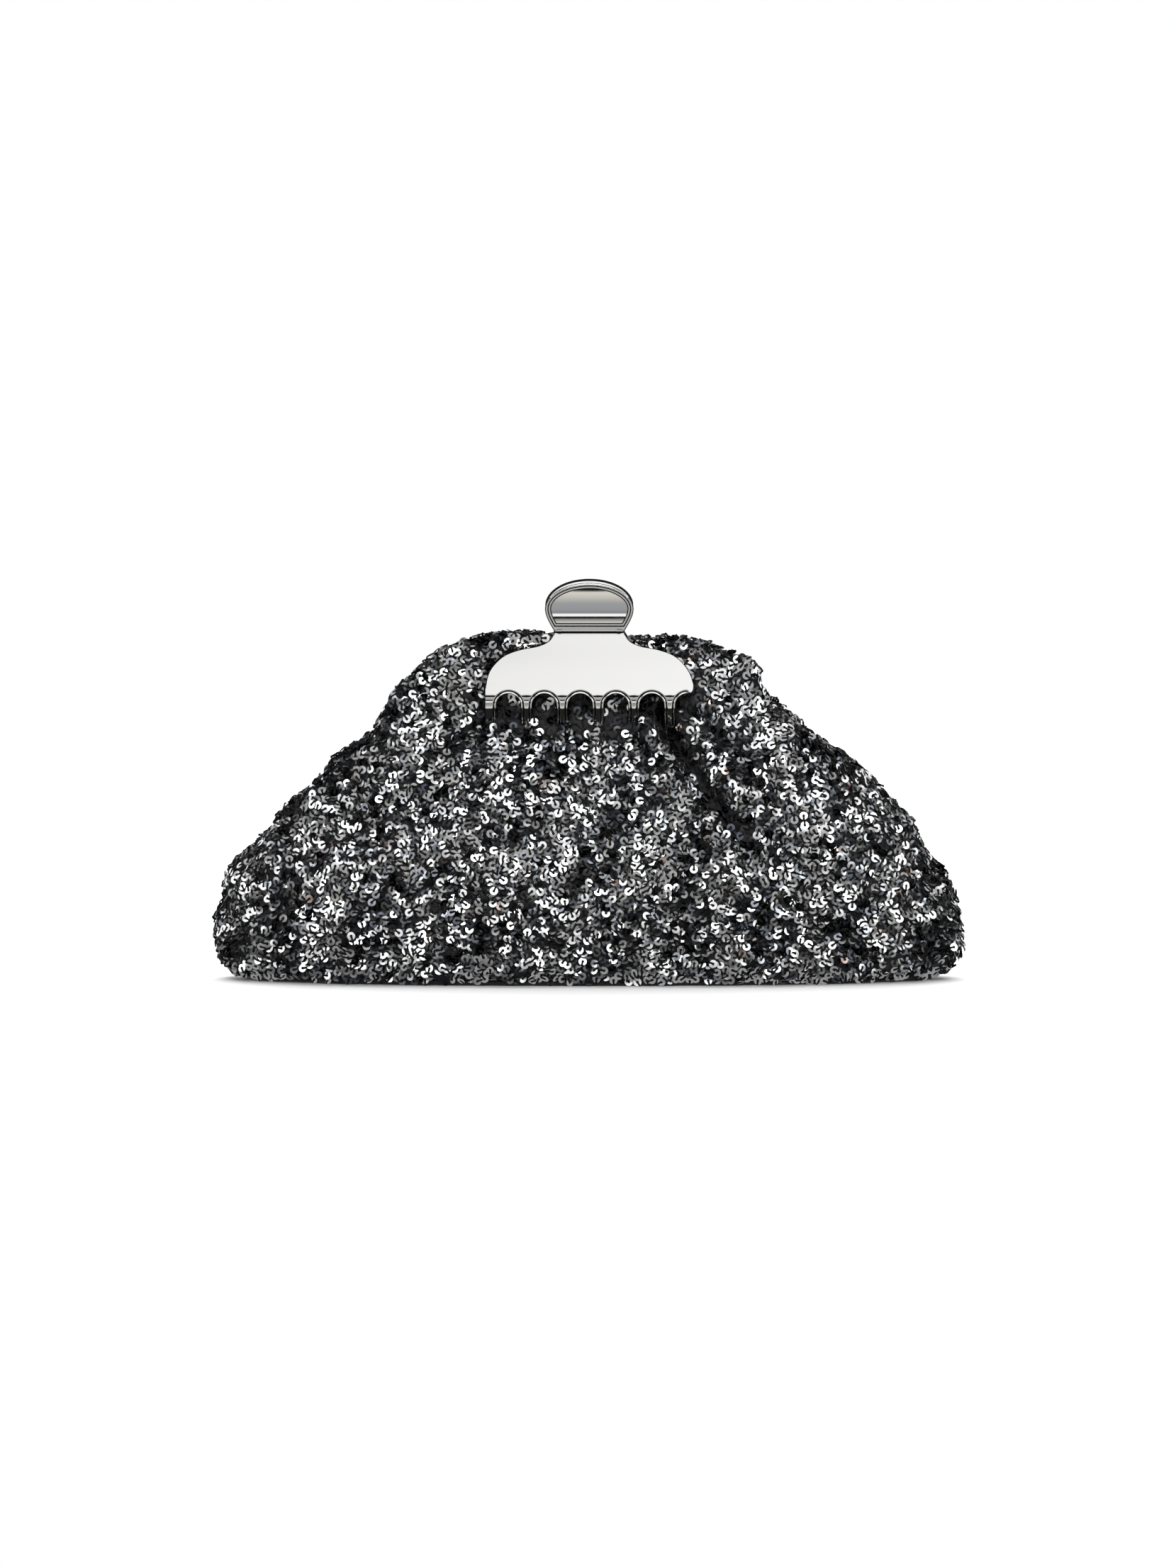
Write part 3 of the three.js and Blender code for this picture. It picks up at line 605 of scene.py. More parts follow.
def ground_cloth(side, name):
    up_wall = np.linspace(WALL_BOTTOM, MOUTH_TOP, CLOTH_ROWS)
    heights = np.concatenate([up_wall, np.linspace(MOUTH_TOP, SHELL_TOP, LIP_ROWS)[1:]])
    points, faces = closed_layer(shell, side, heights, CLOTH_COLUMNS, GROUND_OUTER, GROUND_INNER)
    return mesh_object(name, points, faces, [GROUND_CLOTH])


def lining_surface(side, across, height, inset):
    """The lining: it follows the wall, then closes in to the facing at the mouth."""
    points = wall(side, across, np.minimum(height, FACING_HIGH[2]), inset)
    share = ramp(height - HINGE_Z, *LINING_CLOSES)
    y = np.abs(points[..., 1])
    y = y + (np.minimum(FACING_Y + LINING_INNER - inset, y) - y) * share
    narrow = 1 - FACING_NARROWING * ramp(height - HINGE_Z, *LINING_NARROWS)
    return np.stack([points[..., 0] * narrow, side * y, points[..., 2]], axis=-1)


def lining(side, name):
    heights = np.linspace(LINING_LOW[2], FACING_HIGH[2], LINING_ROWS)
    points, faces = closed_layer(
        lining_surface, side, heights, LINING_COLUMNS, LINING_OUTER, LINING_INNER
    )
    return mesh_object(name, points, faces, [LINING_CLOTH])


def base_plate(name, low_z, high_z, inset, material, dome):
    """A plate with the base's outline and a rounded edge."""
    cos, sin = circle(BASE_STEPS)
    sides = np.where(sin < 0, FRONT, REAR)
    outline = np.array([wall(side, across, low_z, inset)[:2] for side, across in zip(sides, cos)])
    rounding = BASE_ROUNDING * (high_z - low_z)
    *inner_shares, last_share = BASE_SHARES
    rings = [(share, low_z) for share in BASE_SHARES] + [(1.0, low_z + rounding)]
    rings += [(1.0, high_z - rounding), (last_share, high_z)]
    rings += [(share, high_z + dome) for share in reversed(inner_shares)]
    points = [at_height(outline * max(share, BASE_CENTRE), z) for share, z in rings]
    faces = grid_faces(len(outline), len(rings) - 1, wrap=True)
    return mesh_object(name, np.concatenate(points), faces, [material])


# ---- sequins and yarn

SEQUIN_RADIUS = 1.6
SEQUIN_HOLE = 0.58
SEQUIN_THICKNESS = 0.08
SEQUIN_CUP = 0.04
SEQUIN_SIDES = 12
SEQUIN_SPACING = 1.82
SEQUIN_LIFTS = (0.45, 0.95, 1.4)
LIFT_SPREAD = 0.1
SEQUIN_FOOT = 0.3
BARE_TURN_IN = 1.0
BARE_IN_CREASE = 0.9
BARE_BEHIND_CLIP = 0.5
BARE_BELOW_Z = (114, 119)
FLIPPED_SHARE = 0.35
TILT_PATCH = 0.17
TILT_EACH = 0.23
MOST_TILT = 1.1
BASE_LEAN = 0.5
BASE_LEAN_Z = 13.0
BASE_LEAN_HALF_HEIGHT = 14.0
LOOSE_AT_BASE, LEAN_SWING = 0.5, 0.5
TONE_PATCH = 0.12
# How far the sequins in deep creases and under the clip's teeth are shifted to darker kinds: painted
# shade.
PAINTED_SHADE_IN_CREASE = 1.0
PAINTED_SHADE_UNDER_CLIP = 0.16
SHADE_DROP, SHADE_HALF_HEIGHT = 4, 9
LEAN_WAVE, TONE_WAVE = 15, 24
THREAD_RADIUS = 0.4
THREAD_FLATNESS = 0.55
THREAD_OVERHANG = 0.35
YARN_RADIUS = 0.24
YARN_SPACING = 2.3
YARN_SCALES = (0.75, 1.35)
LOOP_HALF_LENGTH, LOOP_BOW, LOOP_RISE, LOOP_SINK = 2.2, 0.9, 0.5, 0.1
STRAND_SIDES = 5
PATCHES = 4
GROUND_CLEARANCE = 0.05
SCATTER_COLUMNS, SCATTER_ROWS = 260, 170
SCATTER_INSET = 0.8
TRIES_PER_PLACE = 3.2
SLOPE_ACROSS, SLOPE_UP = 0.004, 0.3
# Any direction that no normal of the shell points along.
SIDEWAYS = (0.13, 0.21, 0.97)
# Each seed is added to FRONT or REAR.
SEQUIN_SEED, SEQUIN_PLACE_SEED, LEAN_SEED, TONE_SEED = 100, 50, 60, 70
YARN_SEED, YARN_PLACE_SEED = 200, 80


def scatter(side, spacing, low, high, seed):
    """Points spread evenly over the shell, at least `spacing` apart, as (across, height)."""
    draw = np.random.default_rng(seed)
    across = even_across(SCATTER_COLUMNS)
    heights = np.linspace(low, high, SCATTER_ROWS + 1)
    grid = shell(side, *np.meshgrid(across, heights), SCATTER_INSET)
    one = grid[1:, :-1] - grid[:-1, :-1]
    two = grid[:-1, 1:] - grid[:-1, :-1]
    area = np.linalg.norm(np.cross(one, two), axis=-1).ravel()
    tries = int(area.sum() / spacing**2 * TRIES_PER_PLACE)
    row, column = np.divmod(draw.choice(len(area), tries, p=area / area.sum()), SCATTER_COLUMNS)
    a = across[column] + draw.random(tries) * (across[column + 1] - across[column])
    h = heights[row] + draw.random(tries) * (heights[1] - heights[0])
    points = shell(side, a, h, SCATTER_INSET)
    keys = np.floor(points / spacing).astype(int)
    taken, kept = {}, []
    for i, (key, point) in enumerate(zip(map(tuple, keys.tolist()), points.tolist())):
        cells = itertools.product(*((k - 1, k, k + 1) for k in key))
        near = (other for cell in cells for other in taken.get(cell, ()))
        if all(math.dist(point, other) >= spacing for other in near):
            taken.setdefault(key, []).append(point)
            kept.append(i)
    return a[kept], h[kept]


def shell_frames(side, across, height, inset):
    """Points and outward normals of the shell."""
    lower, upper = (np.clip(across + step, -1, 1) for step in (-SLOPE_ACROSS, SLOPE_ACROSS))
    run = shell(side, upper, height, inset) - shell(side, lower, height, inset)
    rise = shell(side, across, height + SLOPE_UP, inset) - shell(side, across, height - SLOPE_UP, inset)
    return shell(side, across, height, inset), -side * unit(np.cross(run, rise))


def above_ground(points):
    """Points with those below the ground pressed up to it."""
    return np.column_stack([points[:, :2], np.maximum(points[:, 2], GROUND_CLEARANCE)])


def ring_template():
    """A flat ring whose hole stands a little above its edge."""
    half = SEQUIN_THICKNESS / 2
    rings = [
        (SEQUIN_HOLE, half + SEQUIN_CUP), (SEQUIN_RADIUS, half),
        (SEQUIN_RADIUS, -half), (SEQUIN_HOLE, SEQUIN_CUP - half),
    ]
    points = [at_height(circle(SEQUIN_SIDES).T * radius, z) for radius, z in rings]
    faces = grid_faces(SEQUIN_SIDES, 4, wrap=True, flip=True) % (4 * SEQUIN_SIDES)
    return np.concatenate(points), faces


def strand_template():
    """A stitch of thread that comes up through the hole and crosses the ring."""
    reach = SEQUIN_RADIUS + THREAD_OVERHANG
    path = [(-0.3, 0, -0.5), (0.0, 0, 0.12), (0.8, 0, 0.26), (reach - 0.3, 0, 0.16), (reach, 0, -0.9)]
    points, faces = sweep(path, THREAD_RADIUS, STRAND_SIDES, closed_ends=False)
    return points * np.array([1, 1, THREAD_FLATNESS]), faces


def tilted_axes(normal, tilt_one, tilt_two, spin):
    """Right-handed axes round normals leant by two small amounts and turned by spin."""
    side = unit(np.cross(normal, np.array(SIDEWAYS)))
    other = np.cross(normal, side)
    leant = unit(normal + tilt_one[:, None] * side + tilt_two[:, None] * other)
    first = unit(side - np.sum(side * leant, axis=-1, keepdims=True) * leant)
    second = np.cross(leant, first)
    cos, sin = np.cos(spin)[:, None], np.sin(spin)[:, None]
    return np.stack([cos * first + sin * second, cos * second - sin * first, leant], axis=1)


def add_sequins(side, name):
    """The sequins of one side with their stitches, in patches from left to right."""
    draw = np.random.default_rng(SEQUIN_SEED + side)
    low, high = WALL_BOTTOM - SEQUIN_FOOT, SHELL_TOP - BARE_TURN_IN
    across, height = scatter(side, SEQUIN_SPACING, low, high, SEQUIN_PLACE_SEED + side)
    rough = shell(side, across, height, GROUND_OUTER)
    x, z = rough[:, 0], rough[:, 2]
    bare_behind = BARE_BEHIND_CLIP * clip_zone(x, z) * (1 - ramp(z, *BARE_BELOW_Z))
    kept = draw.random(len(across)) > np.maximum(BARE_IN_CREASE * creased(side, x, z), bare_behind)
    across, height = across[kept], height[kept]
    count = len(across)
    lift = draw.choice(SEQUIN_LIFTS, count) + draw.normal(0, LIFT_SPREAD, count)
    point, normal = shell_frames(side, across, height, GROUND_OUTER)
    x, z = point[:, 0], point[:, 2]

    lean = [waves(LEAN_SEED + k + side, LEAN_WAVE)(x, z) for k in range(2)]
    loose = TILT_EACH * (1 + LOOSE_AT_BASE * bell(z, BASE_LEAN_Z))
    tilt = [TILT_PATCH * field + loose * draw.normal(0, 1, count) for field in lean]
    base_lean = BASE_LEAN * bell(z - BASE_LEAN_Z, BASE_LEAN_HALF_HEIGHT)
    tilt[1] = tilt[1] - base_lean * (1 + LEAN_SWING * lean[0])
    tilt = np.clip(tilt, -MOST_TILT, MOST_TILT)
    axes = tilted_axes(normal, *tilt, draw.uniform(0, 2 * np.pi, count))
    centre = point + normal * lift[:, None]
    ring_axes = axes.copy()
    ring_axes[draw.random(count) < FLIPPED_SHARE, 1:] *= -1

    tone = draw.random(count) + TONE_PATCH * waves(TONE_SEED + side, TONE_WAVE)(x, z)
    # Painted shade: darker kinds of sequin in the deep creases and under the teeth.
    tone = tone - PAINTED_SHADE_IN_CREASE * creased(side, x, z)
    under_teeth = bell(z - TOOTH_TIP_Z + SHADE_DROP, SHADE_HALF_HEIGHT)
    tone = tone - PAINTED_SHADE_UNDER_CLIP * bell(x, *UNDER_CLIP) * under_teeth
    shares = np.cumsum([share for *_, share in SEQUIN_KINDS])
    kind = np.searchsorted(shares / shares[-1], np.clip(tone, 0, 0.999))

    ring, ring_faces = ring_template()
    strand, strand_faces = strand_template()
    edges = np.quantile(x, np.linspace(0, 1, PATCHES + 1))
    pieces = []
    for patch, (left, right) in enumerate(zip(edges, edges[1:]), 1):
        here = (x >= left) & (x <= right)
        rings, faces = stamp(ring, ring_faces, centre[here], ring_axes[here])
        stitches, stitch_faces = stamp(strand, strand_faces, centre[here], axes[here])
        slots = [np.repeat(kind[here], len(ring_faces)), np.full(len(stitch_faces), len(SEQUINS))]
        points = above_ground(np.concatenate([rings, stitches]))
        faces = np.concatenate([faces, stitch_faces + len(rings)])
        materials = [*SEQUINS, YARN[0]]
        pieces.append(
            mesh_object(f"{name}_{patch}", points, faces, materials, np.concatenate(slots), smooth=False)
        )
    return pieces


def add_yarn(side, name):
    """Short loops of black yarn that fill the spaces between the sequins."""
    draw = np.random.default_rng(YARN_SEED + side)
    high = SHELL_TOP - BARE_TURN_IN
    across, height = scatter(side, YARN_SPACING, WALL_BOTTOM, high, YARN_PLACE_SEED + side)
    point, normal = shell_frames(side, across, height, GROUND_OUTER)
    count = len(across)
    none = np.zeros(count)
    axes = tilted_axes(normal, none, none, draw.uniform(0, 2 * np.pi, count))
    scale = draw.uniform(*YARN_SCALES, count)
    bend = np.linspace(-1, 1, 6)
    arch = 1 - bend**2
    path = np.stack([LOOP_HALF_LENGTH * bend, LOOP_BOW * arch, LOOP_RISE * arch - LOOP_SINK], axis=-1)
    loop, loop_faces = sweep(path, YARN_RADIUS, STRAND_SIDES, closed_ends=False)
    points, faces = stamp(loop, loop_faces, point, axes * scale[:, None, None])
    slots = np.repeat(draw.integers(0, len(YARN), count), len(loop_faces))
    return mesh_object(name, above_ground(points), faces, YARN, slots)


# ---- claw clip

JAW_THICKNESS = 1.6
JAW_EDGE_RADIUS = 0.32
JAW_BOW = 0.6
JAW_PROFILE = [
    (96.5, -7.3), (98.5, -8.5), (101, -9.9), (103, -10.9), (104.5, -11.5), (106, -11.98),
    (108, -12.34), (109, -12.43), (110, -12.48), (110.6, -12.42), (111.5, -12.26), (114, -11.81),
    (122, -10.46), (130, -9.25), (133.6, -8.71), (134.4, -8.62), (135.1, -8.64), (136, -8.8),
    (138, -9.22), (141, -9.95), (145, -11.0), (150, -12.3), (154, -13.3),
]
SHOULDER = [
    (38.7, 118.6), (36, 122.6), (32, 125.8), (26, 127.9), (19.8, 129.1), (15.6, 131), (13.4, 134),
]
RIGHT_SHOULDER_Z, LEFT_SHOULDER_Z = 114.5, 112.5
TAB_HALF_WIDTH = 17.0
TAB_TOP = JAW_HIGH[2] + 0.2
TAB_WIDEST_Z = 143.5
NECK_HALF_WIDTH = 13.3
NECK_Z = 134.5
GAP_RADIUS = TOOTH_PITCH / 2 - TOOTH_HALF_WIDTH
GAP_TOP_Z = 111.0
LAST_GAP_END = 100
TIP_RADIUS = 1.6
RECESS_FOOT_Z = 135.6
HOLLOW_Z = 144.3
HOLLOW_HALF_HEIGHT = 7.1
HOLLOW_DEPTH = 0.62
HOLLOW_POWER = 2.5
# The tab's rim steps down to the hollow's own wall: how far in from the edge each starts and ends.
TAB_STEP = (0.95, 1.4)
TAB_STEP_DROP = 0.5
HOLLOW_WALL = (1.95, 2.35)
# The raised rim round each gap and the groove beside it: place, half width and height.
GAP_RIM = (0.46, 0.46, 0.6)
GAP_FURROW = (1.1, 0.26, 0.3)
# Where round each gap the metal is painted near-black as shade in the groove.
GAP_PAINTED_SHADE = (0.84, 1.12)
# How wide the painted shade lines along the jaw's edges are; each is one of the ring distances below.
DARK_EDGE = 0.25
DARK_TAB_EDGE = 0.35
DARK_TAB_BACK = 0.84
DARK_TAB_EDGE_TOP = 148.0
TAB_EDGE_RADIUS = 0.8
TAB_EDGE_Z = (140, 148)
RING_DISTANCES = (
    0.06, 0.15, 0.25, 0.35, 0.45, 0.55, 0.65, 0.75, 0.84, 0.95, 1.12, 1.4, 1.65, 1.95, 2.35,
)
LAST_RING = RING_DISTANCES[-1]
RING_TOLERANCE = 0.02
OUTLINE_STEP = 0.5
HOLLOW_ROW_STEP = 0.5
HOLLOW_ROW_GAP = 0.1
PLATE_STEP = 0.8
PLATE_GAP = 0.25
PLATE_FOOT_GAP = 0.4
SAME_POINT = 1e-5
# The clip's metals: polished, painted shade, and satin rim.
METAL_SLOT, PAINTED_SHADE_SLOT, RIM_SLOT = range(3)


def arc(centre, radius, start, end, steps):
    angle = np.radians(np.linspace(start, end, steps))
    return np.column_stack([centre[0] + radius * np.cos(angle), centre[1] + radius * np.sin(angle)])


def bezier(a, b, c, d, steps=24):
    t = np.linspace(0, 1, steps)[:, None]
    a, b, c, d = (np.array(p, float) for p in (a, b, c, d))
    return (1 - t) ** 3 * a + 3 * (1 - t) ** 2 * t * b + 3 * (1 - t) * t**2 * c + t**3 * d


def through(points, steps=8):
    """A smooth curve through points."""
    places = np.arange(len(points))
    fine = np.linspace(0, len(points) - 1, steps * (len(points) - 1) + 1)
    return np.column_stack([hermite(list(zip(places, line)), fine) for line in zip(*points)])


def mirrored(points):
    return [(-x, other) for x, other in reversed(points)]


def jaw_outline():
    """The front jaw's outline in (x, z), and which of its points lie on the gaps between teeth."""
    w, t = JAW_HALF_WIDTH, TAB_HALF_WIDTH
    tip_z, arch_z = TOOTH_TIP_Z + TIP_RADIUS, GAP_TOP_Z - GAP_RADIUS
    parts = []
    for index, x in enumerate(TOOTH_X):
        gap_end = 0 if index < TOOTH_COUNT - 1 else LAST_GAP_END
        parts += [
            (arc((x - TOOTH_HALF_WIDTH + TIP_RADIUS, tip_z), TIP_RADIUS, 180, 270, 7), False),
            (arc((x + TOOTH_HALF_WIDTH - TIP_RADIUS, tip_z), TIP_RADIUS, 270, 360, 7), False),
            (arc((x + TOOTH_PITCH / 2, arch_z), GAP_RADIUS, 180, gap_end, 24), True),
        ]
    corner = [(w - 2, GAP_TOP_Z), (w - 0.4, GAP_TOP_Z + 0.1), (w, GAP_TOP_Z + 1.4), (w, GAP_TOP_Z + 3)]
    right_tab = [
        [(NECK_HALF_WIDTH, NECK_Z), (15, 137.5), (t, 140.5), (t, TAB_WIDEST_Z)],
        [(t, TAB_WIDEST_Z), (t, 149), (9.8, TAB_TOP), (0, TAB_TOP)],
    ]
    left_tab = [mirrored(curve) for curve in reversed(right_tab)]
    curves = [bezier(*corner, steps=10), through([(w, RIGHT_SHOULDER_Z), *SHOULDER])]
    curves += [bezier(*curve) for curve in right_tab + left_tab]
    curves.append(through([*mirrored(SHOULDER), (-w, LEFT_SHOULDER_Z)]))
    parts += [(curve, False) for curve in curves]
    points = np.concatenate([line for line, _ in parts])
    on_gap = np.concatenate([np.full(len(line), flag) for line, flag in parts])
    following = np.roll(points, -1, axis=0)
    steps = np.maximum(np.ceil(np.linalg.norm(following - points, axis=1) / OUTLINE_STEP), 1).astype(int)
    dense, flags = [], []
    for start, end, count, a, b in zip(points, following, steps, on_gap, np.roll(on_gap, -1)):
        if np.linalg.norm(end - start) < SAME_POINT:
            continue
        straight = abs(end[0] - start[0]) < 0.01 and start[1] < GAP_TOP_Z and abs(start[0]) < w - 0.01
        dense.append(start + np.arange(count)[:, None] / count * (end - start))
        flags.append(np.full(count, (a and b) or straight))
    return np.concatenate(dense), np.concatenate(flags)


def distance_to(points, starts, ends):
    """Least distance from each point to a set of segments."""
    best = np.full(len(points), 1e9)
    along = ends - starts
    for chunk in range(0, len(points), 2000):
        p = points[chunk : chunk + 2000, None, :]
        t = np.sum((p - starts) * along, axis=-1) / np.maximum(np.sum(along * along, axis=-1), 1e-12)
        nearest = starts + np.clip(t, 0, 1)[..., None] * along
        best[chunk : chunk + 2000] = np.linalg.norm(p - nearest, axis=-1).min(axis=1)
    return best


def inside(points, outline):
    """Which points lie inside a closed outline."""
    x, z = points[:, :1], points[:, 1:]
    ax, az = outline.T
    bx, bz = np.roll(ax, -1), np.roll(az, -1)
    crosses = (az > z) != (bz > z)
    with np.errstate(divide="ignore", invalid="ignore"):
        at = ax + (z - az) / (bz - az) * (bx - ax)
    return np.sum(crosses & (x < at), axis=1) % 2 == 1


def between(values, low, high):
    return (values > low) & (values < high)


def bead(distance, centre, half_width, height):
    share = np.clip(1 - ((distance - centre) / half_width) ** 2, 0, None)
    return height * np.sqrt(share)


def jaw_relief(points, gap, tab):
    """Height of the jaw's outer face over its plain sheet: gap rims, tab steps and recess."""
    z = points[:, 1]
    depth_in = np.minimum(tab, z - RECESS_FOOT_Z)
    step = TAB_STEP_DROP * ramp(depth_in, *TAB_STEP)
    up_hollow = np.clip(np.abs(z - HOLLOW_Z) / HOLLOW_HALF_HEIGHT, 0, 1)
    hollow = HOLLOW_DEPTH * (1 - up_hollow**HOLLOW_POWER) * ramp(depth_in, *HOLLOW_WALL)
    return bead(gap, *GAP_RIM) - bead(gap, *GAP_FURROW) - step - hollow


def edge_fall(distance, radius):
    near = np.clip(distance, 0, radius)
    return radius - np.sqrt(np.maximum(radius**2 - (radius - near) ** 2, 0))


def jaw_triangles(outline, following):
    """Flat points and triangles inside the outline, with edges along its rings and the tab's rows."""
    tangent = unit(following - np.roll(outline, 1, axis=0))
    inward = np.column_stack([-tangent[:, 1], tangent[:, 0]])
    order = np.arange(len(outline))
    points, joins = [outline], [np.column_stack([order, np.roll(order, -1)])]

    def add_line(line, least_distance, closed):
        """Keep the sound points of a line, with an edge between each two that follow on."""
        sound = inside(line, outline)
        sound[sound] = distance_to(line[sound], outline, following) > least_distance
        index = np.where(sound, sum(map(len, points)) + np.cumsum(sound) - 1, -1)
        pairs = np.column_stack([index, np.roll(index, -1)])
        pairs = pairs if closed else pairs[:-1]
        points.append(line[sound])
        joins.append(pairs[(pairs >= 0).all(axis=1)])

    def add_row(half_width, z, step, least_distance):
        row_x = np.arange(-half_width, half_width, step)
        add_line(np.column_stack([row_x, np.full(len(row_x), z)]), least_distance, False)

    for ring in RING_DISTANCES:
        add_line(outline + inward * ring, ring - RING_TOLERANCE, True)
        add_row(NECK_HALF_WIDTH + 2, RECESS_FOOT_Z + ring, OUTLINE_STEP, -1)
    first_row = RECESS_FOOT_Z + LAST_RING + HOLLOW_ROW_STEP
    for z in np.arange(first_row, TAB_TOP - LAST_RING, HOLLOW_ROW_STEP):
        add_row(TAB_HALF_WIDTH, z, HOLLOW_ROW_STEP, LAST_RING + HOLLOW_ROW_GAP)
    plate_x = np.arange(-JAW_HALF_WIDTH, JAW_HALF_WIDTH, PLATE_STEP)
    plate_z = np.arange(TOOTH_TIP_Z, RECESS_FOOT_Z - PLATE_FOOT_GAP, PLATE_STEP)
    spread = np.stack(np.meshgrid(plate_x, plate_z), axis=-1).reshape(-1, 2)
    spread = spread[inside(spread, outline)]
    points.append(spread[distance_to(spread, outline, following) > LAST_RING + PLATE_GAP])
    corners = [Vector(p) for p in np.concatenate(points)]
    found = delaunay_2d_cdt(corners, np.concatenate(joins).tolist(), [], 0, SAME_POINT, False)
    flat, triangles = np.array([tuple(v) for v in found[0]]), np.array(found[2])
    return flat, triangles[inside(flat[triangles].mean(axis=1), outline)]


def edges_used_once(triangles):
    """The directed edges at a triangle mesh's border."""
    edges = np.concatenate([triangles[:, [0, 1]], triangles[:, [1, 2]], triangles[:, [2, 0]]])
    _, index, times = np.unique(np.sort(edges, axis=1), axis=0, return_index=True, return_counts=True)
    return edges[index[times == 1]]


def jaw_slots(flat, triangles, rim, distances):
    """The metal of each face: those in front, those behind, and twice those round the rim; the
    near-black metal along edges, gap grooves and the tab's steps is painted shade.
    """
    edge, gap, tab, z = (values[triangles].mean(axis=1) for values in (*distances, flat[:, 1]))
    depth_in = np.minimum(tab, z - RECESS_FOOT_Z)
    on_tab, over_foot = z > NECK_Z, z > RECESS_FOOT_Z
    stepped = (between(depth_in, *TAB_STEP) | between(depth_in, *HOLLOW_WALL)) & over_foot
    dark_edge = np.where(z > DARK_TAB_EDGE_TOP, 0, np.where(on_tab, DARK_TAB_EDGE, DARK_EDGE))
    # Painted shade: near-black metal on the edges, in the gap grooves and on the tab's steps.
    dark = (edge < dark_edge) | between(gap, *GAP_PAINTED_SHADE) | stepped
    on_band = between(depth_in, 0, HOLLOW_WALL[0]) & over_foot
    in_front = np.where(dark, PAINTED_SHADE_SLOT, np.where(on_band, RIM_SLOT, METAL_SLOT))
    # Painted shade along the tab's edges on the back as well.
    behind = np.where(edge < np.where(on_tab, DARK_TAB_BACK, DARK_EDGE), PAINTED_SHADE_SLOT, METAL_SLOT)
    at_rim = np.where(flat[rim].mean(axis=1)[:, 1] > NECK_Z, PAINTED_SHADE_SLOT, METAL_SLOT)
    return np.concatenate([in_front, behind, at_rim, at_rim])


def jaw_mesh():
    """Points, triangles and slots of the front jaw's plate with rounded edges."""
    outline, on_gap = jaw_outline()
    following = np.roll(outline, -1, axis=0)
    flat, triangles = jaw_triangles(outline, following)
    x, z = flat.T
    on_tab = (outline[:, 1] > NECK_Z) & (following[:, 1] > NECK_Z)
    edge, gap, tab = (
        distance_to(flat, outline[part], following[part]) for part in (slice(None), on_gap, on_tab)
    )
    middle = hermite(JAW_PROFILE, z) + JAW_BOW * (x / JAW_HALF_WIDTH) ** 2
    outer_radius = JAW_EDGE_RADIUS + (TAB_EDGE_RADIUS - JAW_EDGE_RADIUS) * ramp(z, *TAB_EDGE_Z)
    outer = middle - JAW_THICKNESS / 2 - jaw_relief(flat, gap, tab) + edge_fall(edge, outer_radius)
    inner = middle + JAW_THICKNESS / 2 - edge_fall(edge, JAW_EDGE_RADIUS)
    points = np.concatenate([np.column_stack([x, y, z]) for y in (outer, inner)])
    rim = edges_used_once(triangles)
    (start, end), count = rim.T, len(flat)
    one, two = [end, start, start + count], [end, start + count, end + count]
    walls = [np.column_stack(one), np.column_stack(two)]
    faces = np.concatenate([triangles, triangles[:, ::-1] + count, *walls])
    return points, faces, jaw_slots(flat, triangles, rim, (edge, gap, tab))


LUG_THICKNESS = 2.0
LUG_RADIUS = 3.3
LUG_X = (-10.6, 8.0)
LUG_ROOT_Y = 8.3
LUG_ROOT_SHARE = 0.9
LUG_ROOT_POWER = 0.3
LUG_FLARE = 0.35
LUG_BORE = 1.8
LUG_SIDES = 32
LUG_CHAMFER = 0.25
LUG_END_SHARE, BORE_END_SHARE = 0.93, 1.12


def lug_mesh(x):
    """A hinge lug with a bored eye, standing across X; its root runs back to the plate."""
    cos, sin = circle(LUG_SIDES)
    to_root = ramp(-cos, 0.0, LUG_FLARE)
    outer_y = -LUG_ROOT_Y * to_root + LUG_RADIUS * cos * (1 - to_root)
    eye_z = LUG_RADIUS * sin
    root_z = LUG_RADIUS * LUG_ROOT_SHARE * np.abs(sin) ** LUG_ROOT_POWER
    outer_z = np.where(cos < 0, np.sign(eye_z) * np.maximum(np.abs(eye_z), root_z), eye_z)
    half = LUG_THICKNESS / 2
    ends = [(-half, LUG_END_SHARE, BORE_END_SHARE), (LUG_CHAMFER - half, 1.0, 1.0)]
    rings = ends + [(-shift, outer, bore) for shift, outer, bore in reversed(ends)]

    def ring(shift, y, z):
        return np.column_stack([np.full(LUG_SIDES, x + shift), y, PIN_Z + z])

    points = [ring(shift, outer_y * outer, outer_z * outer) for shift, outer, _ in rings]
    for shift, _, bore in reversed(rings):
        points.append(ring(shift, LUG_BORE * bore * cos, LUG_BORE * bore * sin))
    return np.concatenate(points), grid_faces(LUG_SIDES, 8, wrap=True) % (8 * LUG_SIDES)


def as_triangles(quads):
    return np.concatenate([quads[:, [0, 1, 2]], quads[:, [0, 2, 3]]])


def crease_between_slots(mesh):
    """Keep the shading of one material from running on into the next."""
    edge = np.empty(len(mesh.loops), np.int32)
    mesh.loops.foreach_get("edge_index", edge)
    slot = np.empty(len(mesh.polygons), np.int32)
    mesh.polygons.foreach_get("material_index", slot)
    slot = np.repeat(slot, 3)
    least, most = np.full(len(mesh.edges), slot.max()), np.zeros(len(mesh.edges), int)
    np.minimum.at(least, edge, slot)
    np.maximum.at(most, edge, slot)
    mesh.edges.foreach_set("use_edge_sharp", most > least)


